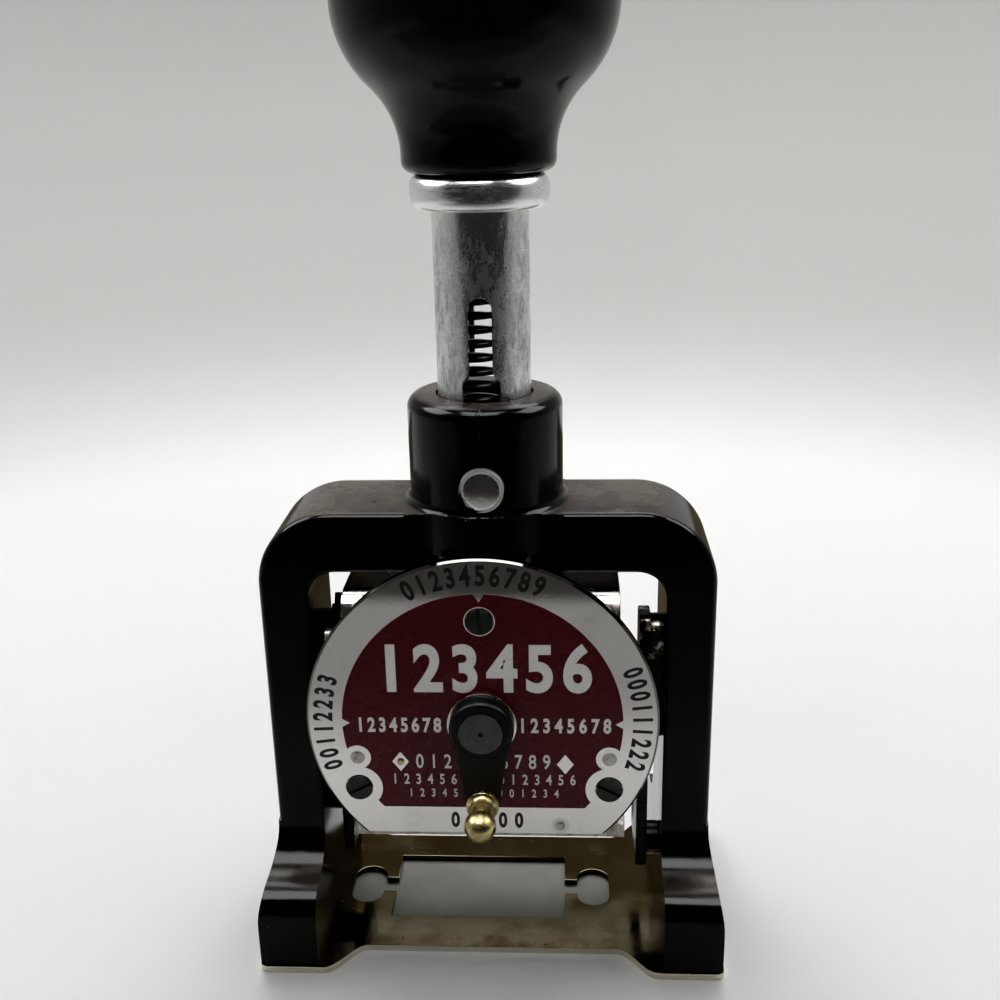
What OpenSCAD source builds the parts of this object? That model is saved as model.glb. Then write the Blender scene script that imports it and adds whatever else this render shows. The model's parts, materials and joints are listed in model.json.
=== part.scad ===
// Hand numbering machine: an inverted U casting on a sheet base plate guides a sprung plunger, which
// carries six number wheels, their feed, an ink pad and a four-way movement selector.
// Millimetres. +Z up, the operator is on the -Y side, and the origin is on the plunger's axis at the
// underside of the base plate.

/* [Base plate] */
// How far the plate stands out past the feet, at each side
plate_side_rim = 0.3; // [0.1:0.05:0.8]
// How far it stands out past the toes, front and back
plate_toe_rim = 0.4; // [0.1:0.05:0.8]
// Depth of the plate at its waist, between the feet
plate_waist_d = 31.6; // [26:0.2:36]
// Thickness of the sheet
plate_t = 1.1; // [0.8:0.1:2]
// Width of the straight part of the waist
waist_w = 41.6; // [34:0.2:46]
// Corner radius of the plate
plate_r = 1.5; // [0.5:0.1:3]

/* [Print window] */
// Width of the window that the number is printed through
win_w = 30.2; // [29:0.1:32]
// Length of the window, front to back
win_l = 17.2; // [15:0.1:19]
// Offset of the window and of the wheel bank from the plunger's axis
win_x = -2.9; // [-3.2:0.1:-2.6]
// Offset of the window's middle, front to back
win_y = 0.7; // [-1:0.1:1]
// Width of the sight notch between the window and each lobe
neck_w = 3.8; // [2:0.1:5]
// Length of that notch
neck_l = 2.2; // [1:0.1:2.6]
// Width of each sight lobe
lobe_w = 5.7; // [4:0.1:6]
// Length of each sight lobe, front to back
lobe_l = 10.3; // [8:0.1:13]

/* [Frame casting] */
// Half width outside the legs
leg_out = 36; // [35:0.1:37]
// Half width between the legs
leg_in = 28.2; // [28:0.1:29.5]
// Half depth of the legs and of the arch
leg_d = 9.2; // [8.6:0.1:10]
// Height of the arch's top face
arch_top = 75.5; // [73:0.1:77]
// Height of the arch's underside
arch_under = 65.8; // [65.4:0.1:67]
// Radius of the arch's inner corners
in_r = 4.7; // [3:0.1:9]
// Radius of the arch's outer corners
out_r = 12; // [8:0.1:16]
// How far each foot stands out past its leg
foot_spread = 1.7; // [1:0.1:2.4]
// Height of the feet's upright toes
toe_h = 9.2; // [7:0.1:10]
// Radius of the toe's shoulder
toe_r = 4.9; // [4:0.1:5.2]
// Radius of the cove between the leg and the toe
cove_r = 7; // [6:0.1:7.2]
// Length of the notch curves between the waist and the feet
waist_run = 6.5; // [5:0.1:8]

/* [Boss] */
// Radius of the plunger's guide boss
boss_r = 12.1; // [11:0.1:12.4]
// Height of the boss's rim
boss_top = 92.6; // [88:0.1:94]
// Rounding of the boss's rim
rim_r = 2; // [1:0.1:3]
// Radius of the boss's lower half, where it stands out of the arch
bulge_r = 12.6; // [12.4:0.1:12.6]
// Radius of the fillet round the foot of the boss
boss_fillet = 1.6; // [1:0.1:4]
// Radius of the fillet between that lower half and the arch's faces
bulge_fillet = 6; // [3:0.1:8]

/* [Plunger] */
// Outer radius of the plunger tube
tube_r = 7.25; // [7:0.05:7.5]
// Wall of the tube
tube_wall = 1.25; // [1:0.05:1.4]
// Radial clearance of the tube in its boss
tube_fit = 0.08; // [0.03:0.01:0.1]
// Length of the tube that shows between the boss and the knob
tube_show = 32.9; // [31:0.1:36]
// Length of the tube inside the knob
tube_grip = 8.5; // [6:0.5:12]
// Length of the plug's thin end, which holds the knob
plug_len = 8; // [6:0.5:10]
// Height of the nut under the carriage's bridge
nut_h = 3.5; // [3:0.1:3.5]
// Stroke of the plunger
stroke = 19; // [16:0.5:19]
// Thickness of the flange that stops the plunger under the arch
flange_t = 2; // [1.5:0.1:2]
// Radius of that flange
flange_r = 10.5; // [9:0.1:11]
// Half width of the tube's slot
slot_hw = 1.75; // [1.6:0.05:2]
// Half width of the slot's wide lower part
slot_wide = 2.8; // [2.7:0.05:3.2]
// Height of the slot's top above the boss
slot_rise = 15.5; // [14:0.1:19]
// Height above the boss at which the slot starts to flare, going down
flare_rise = 4.2; // [3:0.1:5.5]
// How far the slot runs below the lock pin's axis
slot_drop = 5.4; // [4.4:0.1:8]

/* [Knob] */
// Largest radius of the palm knob
knob_r = 20.5; // [19:0.1:22]
// Height of the knob's widest ring above its neck
knob_rise = 21; // [19.5:0.5:24]
// Height of its straight neck
neck_h = 2.5; // [2:0.1:3.5]
// Height of its crown above that ring
knob_crown = 18.7; // [16:0.1:21]
// Radius of the knob's neck
neck_r = 11.4; // [11:0.1:12]
// Rounding of the knob's lower lip
lip_r = 1.8; // [1:0.1:2.2]
// Radius of the cove between the neck and the ball
cove_radius = 13; // [11:0.2:13]
// Radius of the ferrule ring at its bulge
ring_r = 10.4; // [9.8:0.1:11]
// Height of the ferrule ring
ring_h = 5; // [4:0.1:6]
// Depth of the rounding of its side
ring_side = 1.7; // [1.4:0.1:2.4]

/* [Main spring] */
// Diameter of the spring's wire
wire_d = 1; // [0.8:0.05:1.2]
// Gap between its coils and the tube's bore
coil_gap = 1.75; // [1.4:0.05:2]
// Pitch of its coils
coil_pitch = 2.15; // [2:0.05:2.6]

/* [Lock pin] */
// Height of the lock pin's axis
lock_z = 80.4; // [80:0.1:81]
// Radius of the push button
button_r = 3.35; // [2.8:0.05:3.6]
// How far the button stands out of the boss
button_out = 0.9; // [0.5:0.1:1.5]
// Travel of the button
button_travel = 2; // [1.5:0.1:2]
// Radius of the locking collar behind the button
lock_collar_r = 2.4; // [2:0.05:2.5]
// Radius of the pin that crosses the tube
lock_pin_r = 1.45; // [1.2:0.05:1.5]

/* [Carriage] */
// Offset of the carriage and the dial from the plunger's axis
dial_x = -0.75; // [-1:0.05:-0.6]
// Half width outside the carriage's cheeks
cheek_out = 21.6; // [21.4:0.1:21.8]
// Thickness of each cheek
cheek_t = 3; // [2.6:0.1:3.2]
// Radius of each cheek's lower end, round the axle
cheek_r = 6.8; // [6.5:0.1:7.6]
// Height of the carriage's top face
yoke_top = 63.5; // [63.4:0.1:63.5]
// Front face of the carriage
yoke_front = 12.9; // [12.9:0.1:13.4]
// Rear face of the carriage
yoke_rear = 8.5; // [8:0.1:8.8]
// Thickness of the carriage's bridge
bridge_t = 3.5; // [3:0.1:5]
// Depth of its front apron below the top face
apron_h = 10; // [8:0.1:10.5]
// Thickness of that apron
apron_t = 3; // [2.6:0.1:3.2]
// Radius of the bend along the top front edge
bend_r = 4; // [3:0.1:5]

/* [Number wheels] */
// Number of wheels
wheel_count = 6; // [6:1:6]
// Pitch of the wheels along the axle
wheel_pitch = 4.5; // [4.4:0.05:4.6]
// Radius over the type faces
type_r = 9.3; // [9:0.1:9.5]
// Height of the type above the drum
type_h = 0.75; // [0.5:0.05:1]
// Width of each drum
drum_w = 3.2; // [3:0.05:3.3]
// Width of each ratchet
ratchet_w = 1; // [0.8:0.05:1.1]
// Radius over the ratchet's teeth
ratchet_r = 7.6; // [7.2:0.1:7.8]
// Depth of the ratchet's teeth
tooth_h = 1.4; // [1:0.1:1.8]
// Radius of the wheel axle
axle_r = 2.5; // [2.2:0.05:2.8]

/* [Feed] */
// Thickness of the feed arms
arm_t = 1.6; // [1.2:0.1:1.6]
// Radius of the feed pawl's pivot about the axle
pawl_pivot_r = 11.5; // [11.3:0.1:11.6]
// Angle of that pivot at rest, from straight back, upwards
pawl_rest_a = 150; // [148:1:152]
// Angle that the feed swings through in a stroke
feed_swing = 45; // [42:1:46]
// Radius of the feed and pad cam pins about the axle
cam_arm = 7; // [6.8:0.1:7.2]
// Radius of the cam pins
cam_pin_r = 1.2; // [1:0.05:1.3]

/* [Ink pad] */
// Angle that the pad swings through in a stroke
pad_swing = 100; // [95:1:104]
// Depth of the pad carrier, front to back
pad_d = 9.2; // [8:0.1:10]
// Thickness of the pad carrier's sheet
pad_sheet = 0.8; // [0.6:0.05:1]
// Thickness of the pad's side arms
pad_arm_t = 1.2; // [1:0.05:1.2]
// Thickness of the felt
felt_t = 2.65; // [2:0.05:3]

/* [Dial] */
// Radius of the dial plate
dial_r = 27.85; // [26:0.05:28]
// Height of the dial's centre
dial_z = 42.3; // [41.5:0.1:42.5]
// Thickness of the dial plate
dial_t = 1.3; // [1:0.1:1.5]
// Depth of the flat cut below the dial's centre
dial_flat = 20; // [19:0.1:20.5]
// Offset of the lower dial screws to each side
screw_dx = 20.1; // [19.8:0.1:20.3]
// Drop of the lower dial screws below the centre
screw_dz = 11.7; // [11:0.1:12.5]
// Rise of the top dial screw above the centre
top_screw_dz = 17.6; // [17:0.1:18]
// Radius of the screw heads
screw_r = 2.1; // [1.8:0.05:2.2]
// Drop of the two dowels below the centre
dowel_dz = 6.2; // [5.8:0.1:6.6]
// Radius of the dowels
dowel_r = 1.1; // [0.8:0.05:1.2]

/* [Selector] */
// Radius of the washer under the selector
washer_r = 5.5; // [5.3:0.1:6]
// Radius of the selector's hub
hub_r = 5.1; // [4.7:0.1:5.2]
// Length of the selector's arm, from its pivot to its knob
arm_l = 12.8; // [12:0.1:13]
// Radius of the arm's outer end
arm_end_r = 2.7; // [2.6:0.05:3.3]
// Radius of the selector's pivot end
pivot_r = 3.45; // [3:0.05:3.6]
// Radius of the ball on the selector's knob
ball_r = 2.5; // [2.2:0.05:2.8]
// Radius of the disc behind the dial
stop_disc_r = 6; // [5.5:0.1:6]

/* [Cam plates] */
// Gap between each cam plate's inner face and the middle plane
cam_x = 24.2; // [24.2:0.1:24.4]
// Thickness of each cam plate
cam_t = 1.8; // [1.5:0.1:2]
// Thickness of the flange that closes the front of each cam plate's upper part towards its leg
flange_w = 1.5; // [1.2:0.1:2]
// Height of the cam plates' tops
cam_top = 57.3; // [57:0.1:60]

/* [Fits] */
// Gap between pieces that pass each other
gap = 0.35; // [0.3:0.01:0.36]
// Radial clearance of a shaft in its bore
fit = 0.05; // [0.02:0.01:0.1]
// Play of a cam pin in its slot, to each side
cam_play = 0.15; // [0.1:0.01:0.25]

/* [Hidden] */
$fn = 96;

// A cut runs past the face it opens by this much
over = 1;

foot_out = leg_out + foot_spread;
knob_z = boss_top + tube_show;
knob_wide_z = knob_z + neck_h + knob_rise;
tube_top = knob_z + tube_grip;
slot_top = boss_top + slot_rise;
slot_flare = boss_top + flare_rise;
slot_bottom = lock_z - slot_drop;
coil_r = tube_r - tube_wall - coil_gap - wire_d / 2;
axle_z = stroke + type_r;
foot_y = leg_d + cove_r + toe_r;
cove_z = toe_h + toe_r;
plate_w = 2 * (foot_out + plate_side_rim);
plate_d = 2 * (foot_y + plate_toe_rim);
cheek_in = cheek_out - cheek_t;
left_out = dial_x - cheek_out;
left_in = dial_x - cheek_in;
right_out = dial_x + cheek_out;
right_in = dial_x + cheek_in;
dial_back = yoke_front;
dial_front = yoke_front + dial_t;
bank_w = wheel_count * wheel_pitch;
bank_x = win_x - bank_w / 2;
side_play = (wheel_pitch - drum_w - ratchet_w) / 2;
tip_r = ratchet_r + gap;
finger_w = wheel_pitch - drum_w - 2 * 0.3;
hub_out_r = 4;
pawl_hub_r = 1.5;
feed_x0 = bank_x - 0.7;
feed_x1 = bank_x + bank_w + 0.6;
feed_pin_a = 90 + feed_swing / 2;
detent_r = 16;
detent_a = 66;
seat_z = lock_z + lock_pin_r + 0.05;
seat_t = 1.5;
spring_z0 = seat_z + seat_t;
plug_z = knob_z - 0.8;
spring_l = plug_z - 0.3 - spring_z0;
pad_arm_right = right_out + gap;
pad_arm_left = left_out - gap;
pad_top_z = axle_z - type_r - gap;
tray_z = pad_top_z - felt_t - pad_sheet;
washer_y = dial_front + 0.05;
washer_t = 0.5;
lever_y = dial_front + 0.8;
lever_t = 2;
hub_y = lever_y + 2.2;
pivot_y = hub_y + 0.5;
knob_pin_z = dial_z - arm_l;
wheel_colour = [0.30, 0.29, 0.27];
nickel = [0.80, 0.79, 0.75];
steel = [0.62, 0.63, 0.65];
enamel = [0.05, 0.05, 0.06];
brass = [0.72, 0.58, 0.28];

// Extrudes a drawing in (y, z) along X, from x0 to x1
module along_x(x0, x1)
    translate([x0, 0, 0])
        rotate([90, 0, 90])
            linear_extrude(x1 - x0)
                children();

// Extrudes a drawing in (x, z) along Y, from y0 to y1
module along_y(y0, y1)
    translate([0, y1, 0])
        rotate([90, 0, 0])
            linear_extrude(y1 - y0)
                children();

// A round bar of radius r along X at (y, z)
module bar_x(x0, x1, y, z, r)
    translate([x0, y, z])
        rotate([0, 90, 0])
            cylinder(r = r, h = x1 - x0);

// A round bar of radius r along Y at (x, z)
module bar_y(y0, y1, x, z, r)
    translate([x, y0, z])
        rotate([-90, 0, 0])
            cylinder(r = r, h = y1 - y0);

// A point at radius r and angle a about the wheel axle, in (y, z)
function polar(r, a) = [r * cos(a), axle_z + r * sin(a)];

// A link drawn in 2D: two round eyes of radius r, and a slightly narrower web between them
module link(p, q, r) {
    d = q - p;
    web = r - 0.2;
    translate(p) circle(r);
    translate(q) circle(r);
    translate(p)
        rotate(atan2(d[1], d[0]))
            translate([0, -web])
                square([norm(d), 2 * web]);
}

// Two discs of different size joined by their outer tangents, drawn in 2D
module taper_link(p, q, rp, rq) {
    d = q - p;
    turn = atan2(d[1], d[0]);
    lean = acos((rp - rq) / norm(d));
    translate(p) circle(rp);
    translate(q) circle(rq);
    polygon([
        p + rp * [cos(turn + lean), sin(turn + lean)], p + rp * [cos(turn - lean), sin(turn - lean)],
        q + rq * [cos(turn - lean), sin(turn - lean)], q + rq * [cos(turn + lean), sin(turn + lean)]]);
}

// ---- base ----

module waist_edge(side) {
    x0 = waist_w / 2;
    x1 = x0 + waist_run;
    y0 = plate_waist_d / 2;
    y1 = plate_d / 2;
    s_curve = [for (i = [0 : 12]) [x0 + (x1 - x0) * i / 12, y0 + (y1 - y0) * (1 - cos(15 * i)) / 2]];
    scale([1, side])
        polygon(concat(
            [[-x1, y1 + over]],
            [for (p = [for (i = [12 : -1 : 0]) s_curve[i]]) [-p[0], p[1]]],
            s_curve,
            [[x1, y1 + over]]));
}

module plate_outline()
    difference() {
        union() {
            square([plate_w - 2 * plate_r, plate_d], center = true);
            square([plate_w, plate_d - 2 * plate_r], center = true);
            for (sx = [-1, 1], sy = [-1, 1])
                translate([sx * (plate_w / 2 - plate_r), sy * (plate_d / 2 - plate_r)])
                    circle(plate_r);
        }
        waist_edge(1);
        waist_edge(-1);
    }

module window() {
    square([win_w, win_l], center = true);
    square([win_w + 2 * neck_l + lobe_w, neck_w], center = true);
    for (s = [-1, 1])
        translate([s * (win_w / 2 + neck_l + lobe_w / 2), 0]) {
            square([lobe_w, lobe_l - lobe_w], center = true);
            for (t = [-1, 1])
                translate([0, t * (lobe_l - lobe_w) / 2])
                    circle(lobe_w / 2);
        }
}

base_screw_x = (leg_in + foot_out) / 2;
base_screw_y = foot_y - 5;
base_screw_r = 1.5;
base_head_r = 2.5;

module base_plate()
    color(nickel)
        difference() {
            linear_extrude(plate_t) plate_outline();
            translate([win_x, win_y, -over])
                linear_extrude(plate_t + 2 * over)
                    window();
            for (sx = [-1, 1], sy = [-1, 1])
                translate([sx * base_screw_x, sy * base_screw_y, -over]) {
                    cylinder(r = base_screw_r + fit, h = plate_t + 2 * over);
                    translate([0, 0, over - 0.01])
                        cylinder(r1 = base_head_r + fit, r2 = base_screw_r + fit, h = plate_t - 0.1);
                }
        }

module base_screws()
    color(steel)
        for (sx = [-1, 1], sy = [-1, 1])
            translate([sx * base_screw_x, sy * base_screw_y, 0])
                difference() {
                    union() {
                        cylinder(r1 = base_head_r, r2 = base_screw_r, h = plate_t - 0.1);
                        cylinder(r = base_screw_r, h = 6.5);
                    }
                    translate([0, 0, 0.1])
                        cube([2 * base_head_r + over, 0.6, 0.8], center = true);
                }

// ---- frame ----

// A shape with a level top and two rounded upper corners
module round_top(hw, z0, z1, r) {
    translate([-hw, z0]) square([2 * hw, z1 - r - z0]);
    translate([-hw + r, z0]) square([2 * (hw - r), z1 - z0]);
    for (s = [-1, 1])
        translate([s * (hw - r), z1 - r])
            circle(r);
}

module arch_front() {
    flare = [for (i = [0 : 10]) [
        leg_out + (foot_out - leg_out) * (1 + cos(18 * i)) / 2,
        toe_h - 1 + (cove_z + cove_r - toe_h) * i / 10]];
    difference() {
        union() {
            round_top(leg_out, plate_t, arch_top, out_r);
            for (s = [-1, 1])
                scale([s, 1])
                    polygon(concat([[0, plate_t], [foot_out, plate_t]], flare, [[0, cove_z + cove_r - 1]]));
        }
        round_top(leg_in, 0, arch_under, in_r);
    }
}

module leg_side() {
    translate([-leg_d, plate_t]) square([2 * leg_d, arch_top - plate_t]);
    translate([-foot_y, plate_t]) square([2 * foot_y, toe_h - plate_t]);
    translate([-(foot_y - toe_r), plate_t]) square([2 * (foot_y - toe_r), cove_z - plate_t]);
    for (s = [-1, 1]) {
        translate([s * (foot_y - toe_r), toe_h]) circle(toe_r);
        difference() {
            translate([s * (leg_d + cove_r / 2), cove_z + cove_r / 2])
                square(cove_r, center = true);
            translate([s * (leg_d + cove_r), cove_z + cove_r])
                circle(cove_r);
        }
    }
}

// The boss in plan where it stands out of the arch, with a fillet at each flank
module bulge_plan() {
    fillet_x = sqrt(pow(bulge_r + bulge_fillet, 2) - pow(leg_d + bulge_fillet, 2));
    k = bulge_r / (bulge_r + bulge_fillet);
    circle(bulge_r);
    for (sx = [-1, 1], sy = [-1, 1])
        scale([sx, sy])
            difference() {
                polygon([[0, leg_d - 1], [fillet_x, leg_d - 1], [fillet_x, leg_d],
                    [fillet_x * k, (leg_d + bulge_fillet) * k], [0, (leg_d + bulge_fillet) * k]]);
                translate([fillet_x, leg_d + bulge_fillet]) circle(bulge_fillet);
            }
}

module boss_profile() {
    square([boss_r, boss_top - rim_r]);
    square([boss_r - rim_r, boss_top]);
    translate([boss_r - rim_r, boss_top - rim_r]) circle(rim_r);
    difference() {
        translate([0, arch_top - 0.01]) square([boss_r + boss_fillet, boss_fillet]);
        translate([boss_r + boss_fillet, arch_top + boss_fillet]) circle(boss_fillet);
    }
}

button_well = boss_r - button_out - button_travel - 0.9;

module frame_casting()
    color(enamel)
        difference() {
            union() {
                intersection() {
                    along_y(-foot_y, foot_y) arch_front();
                    along_x(-foot_out, foot_out) leg_side();
                }
                intersection() {
                    translate([0, 0, arch_under])
                        linear_extrude(arch_top - arch_under)
                            bulge_plan();
                    // The bulge fades out towards the arch's underside
                    translate([0, 0, arch_under])
                        cylinder(r1 = leg_d, r2 = leg_d + arch_top - arch_under, h = arch_top - arch_under);
                }
                intersection() {
                    rotate_extrude() boss_profile();
                    translate([0, 0, arch_under])
                        linear_extrude(boss_top)
                            union() {
                                square([2 * leg_out, 2 * leg_d], center = true);
                                bulge_plan();
                            }
                }
            }
            translate([0, 0, arch_under - over]) {
                cylinder(r = tube_r + tube_fit, h = boss_top);
                translate([0, 0, boss_top - arch_under + over - 1])
                    cylinder(r = tube_r + 0.35, h = 2);
            }
            bar_y(-boss_r - over, -button_well, 0, lock_z, button_r + 0.1);
            bar_y(-boss_r, 0, 0, lock_z, lock_collar_r + fit);
            bar_y(0, boss_r + over, 0, lock_z, lock_pin_r + fit);
            for (sx = [-1, 1], sy = [-1, 1])
                translate([sx * base_screw_x, sy * base_screw_y, 0])
                    cylinder(r = base_screw_r + 0.02, h = 7);
            for (s = [-1, 1], p = s < 0 ? left_lugs : right_lugs)
                bar_x(s < 0 ? -leg_in - 5 : leg_in - over, s < 0 ? -leg_in + over : leg_in + 5,
                    p[0], p[1], lug_screw_r + 0.02);
        }

// ---- cam plates on the legs ----

lug_r = 2.8;
lug_screw_r = 1.1;
lug_head_r = 1.9;
// Places of the two screws that hold each cam plate, in (y, z)
left_lugs = [[0, cam_top - 4.5], [7, axle_z - 12.3]];
right_lugs = [[-4, cam_top - 3.4], [-3.6, axle_z - 13.6]];
slot_r = cam_pin_r + cam_play;

// Where a cam pin stands when the plunger is down by s; a0 is its angle at rest and swing the angle
// that it turns through in a whole stroke
function cam_point(s, a0, swing) = polar(cam_arm, a0 + swing * s / stroke) - [0, s];

// The slot that such a pin runs in, as a swept outline with round ends
module cam_slot(a0, swing) {
    n = 24;
    p = [for (i = [0 : n]) cam_point(stroke * i / n, a0, swing)];
    side = [for (i = [0 : n])
        let (d = p[min(i + 1, n)] - p[max(i - 1, 0)])
        slot_r * [-d[1], d[0]] / norm(d)];
    translate(p[0]) circle(slot_r);
    translate(p[n]) circle(slot_r);
    polygon(concat(
        [for (i = [0 : n]) p[i] + side[i]],
        [for (i = [n : -1 : 0]) p[i] - side[i]]));
}

module lug_cuts(lugs)
    for (p = lugs)
        translate(p) circle(lug_screw_r + fit);

// Left plate: it turns the ink pad out of the way as the plunger goes down
module left_plate_outline() {
    translate([-4.8, axle_z - 15.9]) square([15.4, 21.9]);
    translate([-3, axle_z]) square([7.5, cam_top - 4 - axle_z]);
    polygon([[-3, cam_top - 4.1], [-3, cam_top - 1.5], [-1.2, cam_top], [-0.2, cam_top - 2.2],
        [1.6, cam_top + 0.8], [4.5, cam_top - 2.5], [4.5, cam_top - 4.1]]);
}

// Right plate: it swings the feed
module right_plate_outline() {
    translate([-leg_d + 2, axle_z - 16.9]) square([leg_d + 5, 30.9]);
    translate([-leg_d + 2, axle_z]) square([6.4, cam_top - 1.5 - axle_z]);
    translate([-leg_d + 3.5, axle_z]) square([3.4, cam_top - axle_z]);
    for (y = [-leg_d + 3.5, -leg_d + 6.9])
        translate([y, cam_top - 1.5]) circle(1.5);
}

// A cam plate on one leg; its flange starts at y = front
module cam_plate(side, lugs, front) {
    x0 = side < 0 ? -cam_x - cam_t : cam_x;
    difference() {
        union() {
            along_x(x0, x0 + cam_t) children(0);
            for (p = lugs)
                bar_x(side < 0 ? -leg_in : cam_x + cam_t / 2, side < 0 ? -cam_x - cam_t / 2 : leg_in,
                    p[0], p[1], lug_r);
            along_x(side < 0 ? -leg_in : cam_x + cam_t / 2, side < 0 ? -cam_x - cam_t / 2 : leg_in)
                translate([front, axle_z + 8])
                    square([flange_w, lugs[0][1] + 1 - axle_z - 8]);
        }
        along_x(x0 - over, x0 + cam_t + over) children(1);
        for (p = lugs) {
            bar_x(side < 0 ? -leg_in - over : cam_x - over, side < 0 ? -cam_x + over : leg_in + over,
                p[0], p[1], lug_screw_r + fit);
            translate([side * (cam_x - 0.01), p[0], p[1]])
                rotate([0, side * 90, 0])
                    cylinder(r1 = lug_head_r + fit, r2 = lug_screw_r + fit, h = 1);
        }
    }
}

module cam_plate_left()
    color(enamel)
        cam_plate(-1, left_lugs, -3) {
            left_plate_outline();
            cam_slot(0, pad_swing);
        }

module cam_plate_right()
    color(enamel)
        cam_plate(1, right_lugs, -leg_d + 2) {
            right_plate_outline();
            cam_slot(feed_pin_a, -feed_swing);
        }

module cam_screws()
    color(steel)
        for (s = [-1, 1], p = s < 0 ? left_lugs : right_lugs)
            translate([s * cam_x, p[0], p[1]])
                rotate([0, s * 90, 0])
                    difference() {
                        union() {
                            cylinder(r1 = lug_head_r, r2 = lug_screw_r, h = 1);
                            cylinder(r = lug_screw_r, h = leg_in - cam_x + 4);
                        }
                        cube([2 * lug_head_r + over, 0.5, 0.8], center = true);
                    }

// ---- plunger ----

module spring_seat()
    color(steel)
        translate([0, 0, seat_z])
            difference() {
                cylinder(r = tube_r - tube_wall - 0.3, h = seat_t);
                translate([0, 0, -over]) cylinder(r = 2, h = seat_t + 2 * over);
            }

module lock_pin()
    color(steel)
        difference() {
            union() {
                bar_y(-boss_r - button_out, -button_well - button_travel - 0.4, 0, lock_z, button_r);
                bar_y(-button_well - button_travel - 0.5, -tube_r - 0.65, 0, lock_z, lock_collar_r);
                bar_y(-tube_r - 0.7, boss_r - button_travel - 0.1, 0, lock_z, lock_pin_r);
            }
            // The button's face is dished
            translate([0, -boss_r - button_out, lock_z])
                scale([1, 0.12, 1])
                    sphere(button_r - 0.5);
        }

module slot_shape() {
    round_z = slot_top - slot_hw;
    wide_z = slot_flare - 1.4;
    translate([0, round_z]) circle(slot_hw);
    polygon([[-slot_hw, round_z], [-slot_hw, slot_flare], [-slot_wide, wide_z],
        [-slot_wide, slot_bottom], [slot_wide, slot_bottom], [slot_wide, wide_z],
        [slot_hw, slot_flare], [slot_hw, round_z]]);
}

spigot_r = 5.5;
plug_spigot_r = 4;

module plunger_tube()
    color(nickel)
        difference() {
            union() {
                translate([0, 0, yoke_top]) cylinder(r = tube_r, h = tube_top - yoke_top);
                translate([0, 0, yoke_top]) cylinder(r = flange_r, h = flange_t);
                translate([0, 0, yoke_top - bridge_t - nut_h - 0.7])
                    cylinder(r = spigot_r, h = bridge_t + nut_h + 1.5);
            }
            translate([0, 0, yoke_top + 4])
                cylinder(r = tube_r - tube_wall, h = tube_top);
            along_y(-tube_r - over, tube_r + over) slot_shape();
        }

module tube_plug()
    color(steel) {
        translate([0, 0, plug_z]) cylinder(r = tube_r - tube_wall - 0.02, h = tube_top - plug_z);
        translate([0, 0, tube_top]) cylinder(r = plug_spigot_r, h = plug_len);
    }

module tube_nut()
    color(steel)
        translate([0, 0, yoke_top - bridge_t - 0.1 - nut_h])
            difference() {
                cylinder(r = spigot_r + 3.5, h = nut_h, $fn = 6);
                translate([0, 0, -over]) cylinder(r = spigot_r + 0.02, h = nut_h + 2 * over);
            }

function concat_all(v) = [for (a = v) for (b = a) b];

// One closed wire that winds round the Z axis
module main_spring() {
    per_turn = 14;
    sides = 6;
    turns = (spring_l - wire_d) / coil_pitch;
    n = round(turns * per_turn);
    z0 = spring_z0 + wire_d / 2;
    ring = function (i) [for (k = [0 : sides - 1])
        let (a = 360 * turns * i / n, b = 360 * k / sides, r = coil_r + wire_d / 2 * cos(b))
        [r * cos(a), r * sin(a), z0 + (spring_l - wire_d) * i / n + wire_d / 2 * sin(b)]];
    points = concat_all([for (i = [0 : n]) ring(i)]);
    walls = concat_all([for (i = [0 : n - 1]) concat_all([for (k = [0 : sides - 1])
        let (a = i * sides + k, b = i * sides + (k + 1) % sides, c = b + sides, d = a + sides)
        [[a, b, c], [a, c, d]]])]);
    caps = [[for (k = [sides - 1 : -1 : 0]) k], [for (k = [0 : sides - 1]) n * sides + k]];
    color([0.12, 0.12, 0.13])
        polyhedron(points, concat(walls, caps), convexity = 10);
}

module ferrule_ring()
    color(nickel)
        rotate_extrude()
            difference() {
                translate([0, knob_z - 0.1 - ring_h / 2])
                    polygon(concat([[0, ring_h / 2], [0, -ring_h / 2]], [for (a = [-90 : 6 : 90]) [
                        ring_r - ring_side + ring_side * pow(max(0, cos(a)), 0.8),
                        ring_h / 2 * sign(sin(a)) * pow(abs(sin(a)), 0.8)]]));
                translate([0, knob_z - ring_h - over]) square([tube_r + 0.02, ring_h + 2 * over]);
            }

// Half section of the knob: a rounded lip, a cove that runs into the ball, and a flatter crown
module knob_section() {
    neck_z = knob_z + neck_h;
    rise = knob_wide_z - neck_z;
    reach = knob_r - neck_r;
    // The cove and the ball touch at a common tangent
    both = (rise * rise + reach * reach) / (2 * reach);
    ball = both - cove_radius;
    cove = [neck_r + cove_radius, neck_z];
    middle = [knob_r - ball, knob_wide_z];
    meet = middle + ball / both * (cove - middle);
    // So do the ball and the crown
    crown = (middle[0] * middle[0] + knob_crown * knob_crown - ball * ball) / (2 * (knob_crown - ball));
    crown_mid = [0, knob_wide_z + knob_crown - crown];
    up = (middle - crown_mid) / norm(middle - crown_mid);

    translate([0, knob_z]) square([neck_r - lip_r, lip_r]);
    translate([0, knob_z + lip_r]) square([neck_r, neck_z - knob_z - lip_r]);
    translate([neck_r - lip_r, knob_z + lip_r]) circle(lip_r);
    difference() {
        polygon([[0, neck_z], cove, meet, [0, meet[1]]]);
        translate(cove) circle(cove_radius);
    }
    intersection() {
        translate(middle) circle(ball);
        translate([0, meet[1]]) square([knob_r, knob_wide_z + knob_crown - meet[1]]);
    }
    intersection() {
        translate(crown_mid) circle(crown);
        polygon([crown_mid, crown_mid + 3 * knob_r * up, crown_mid + [0, 3 * knob_r]]);
    }
}

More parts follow.
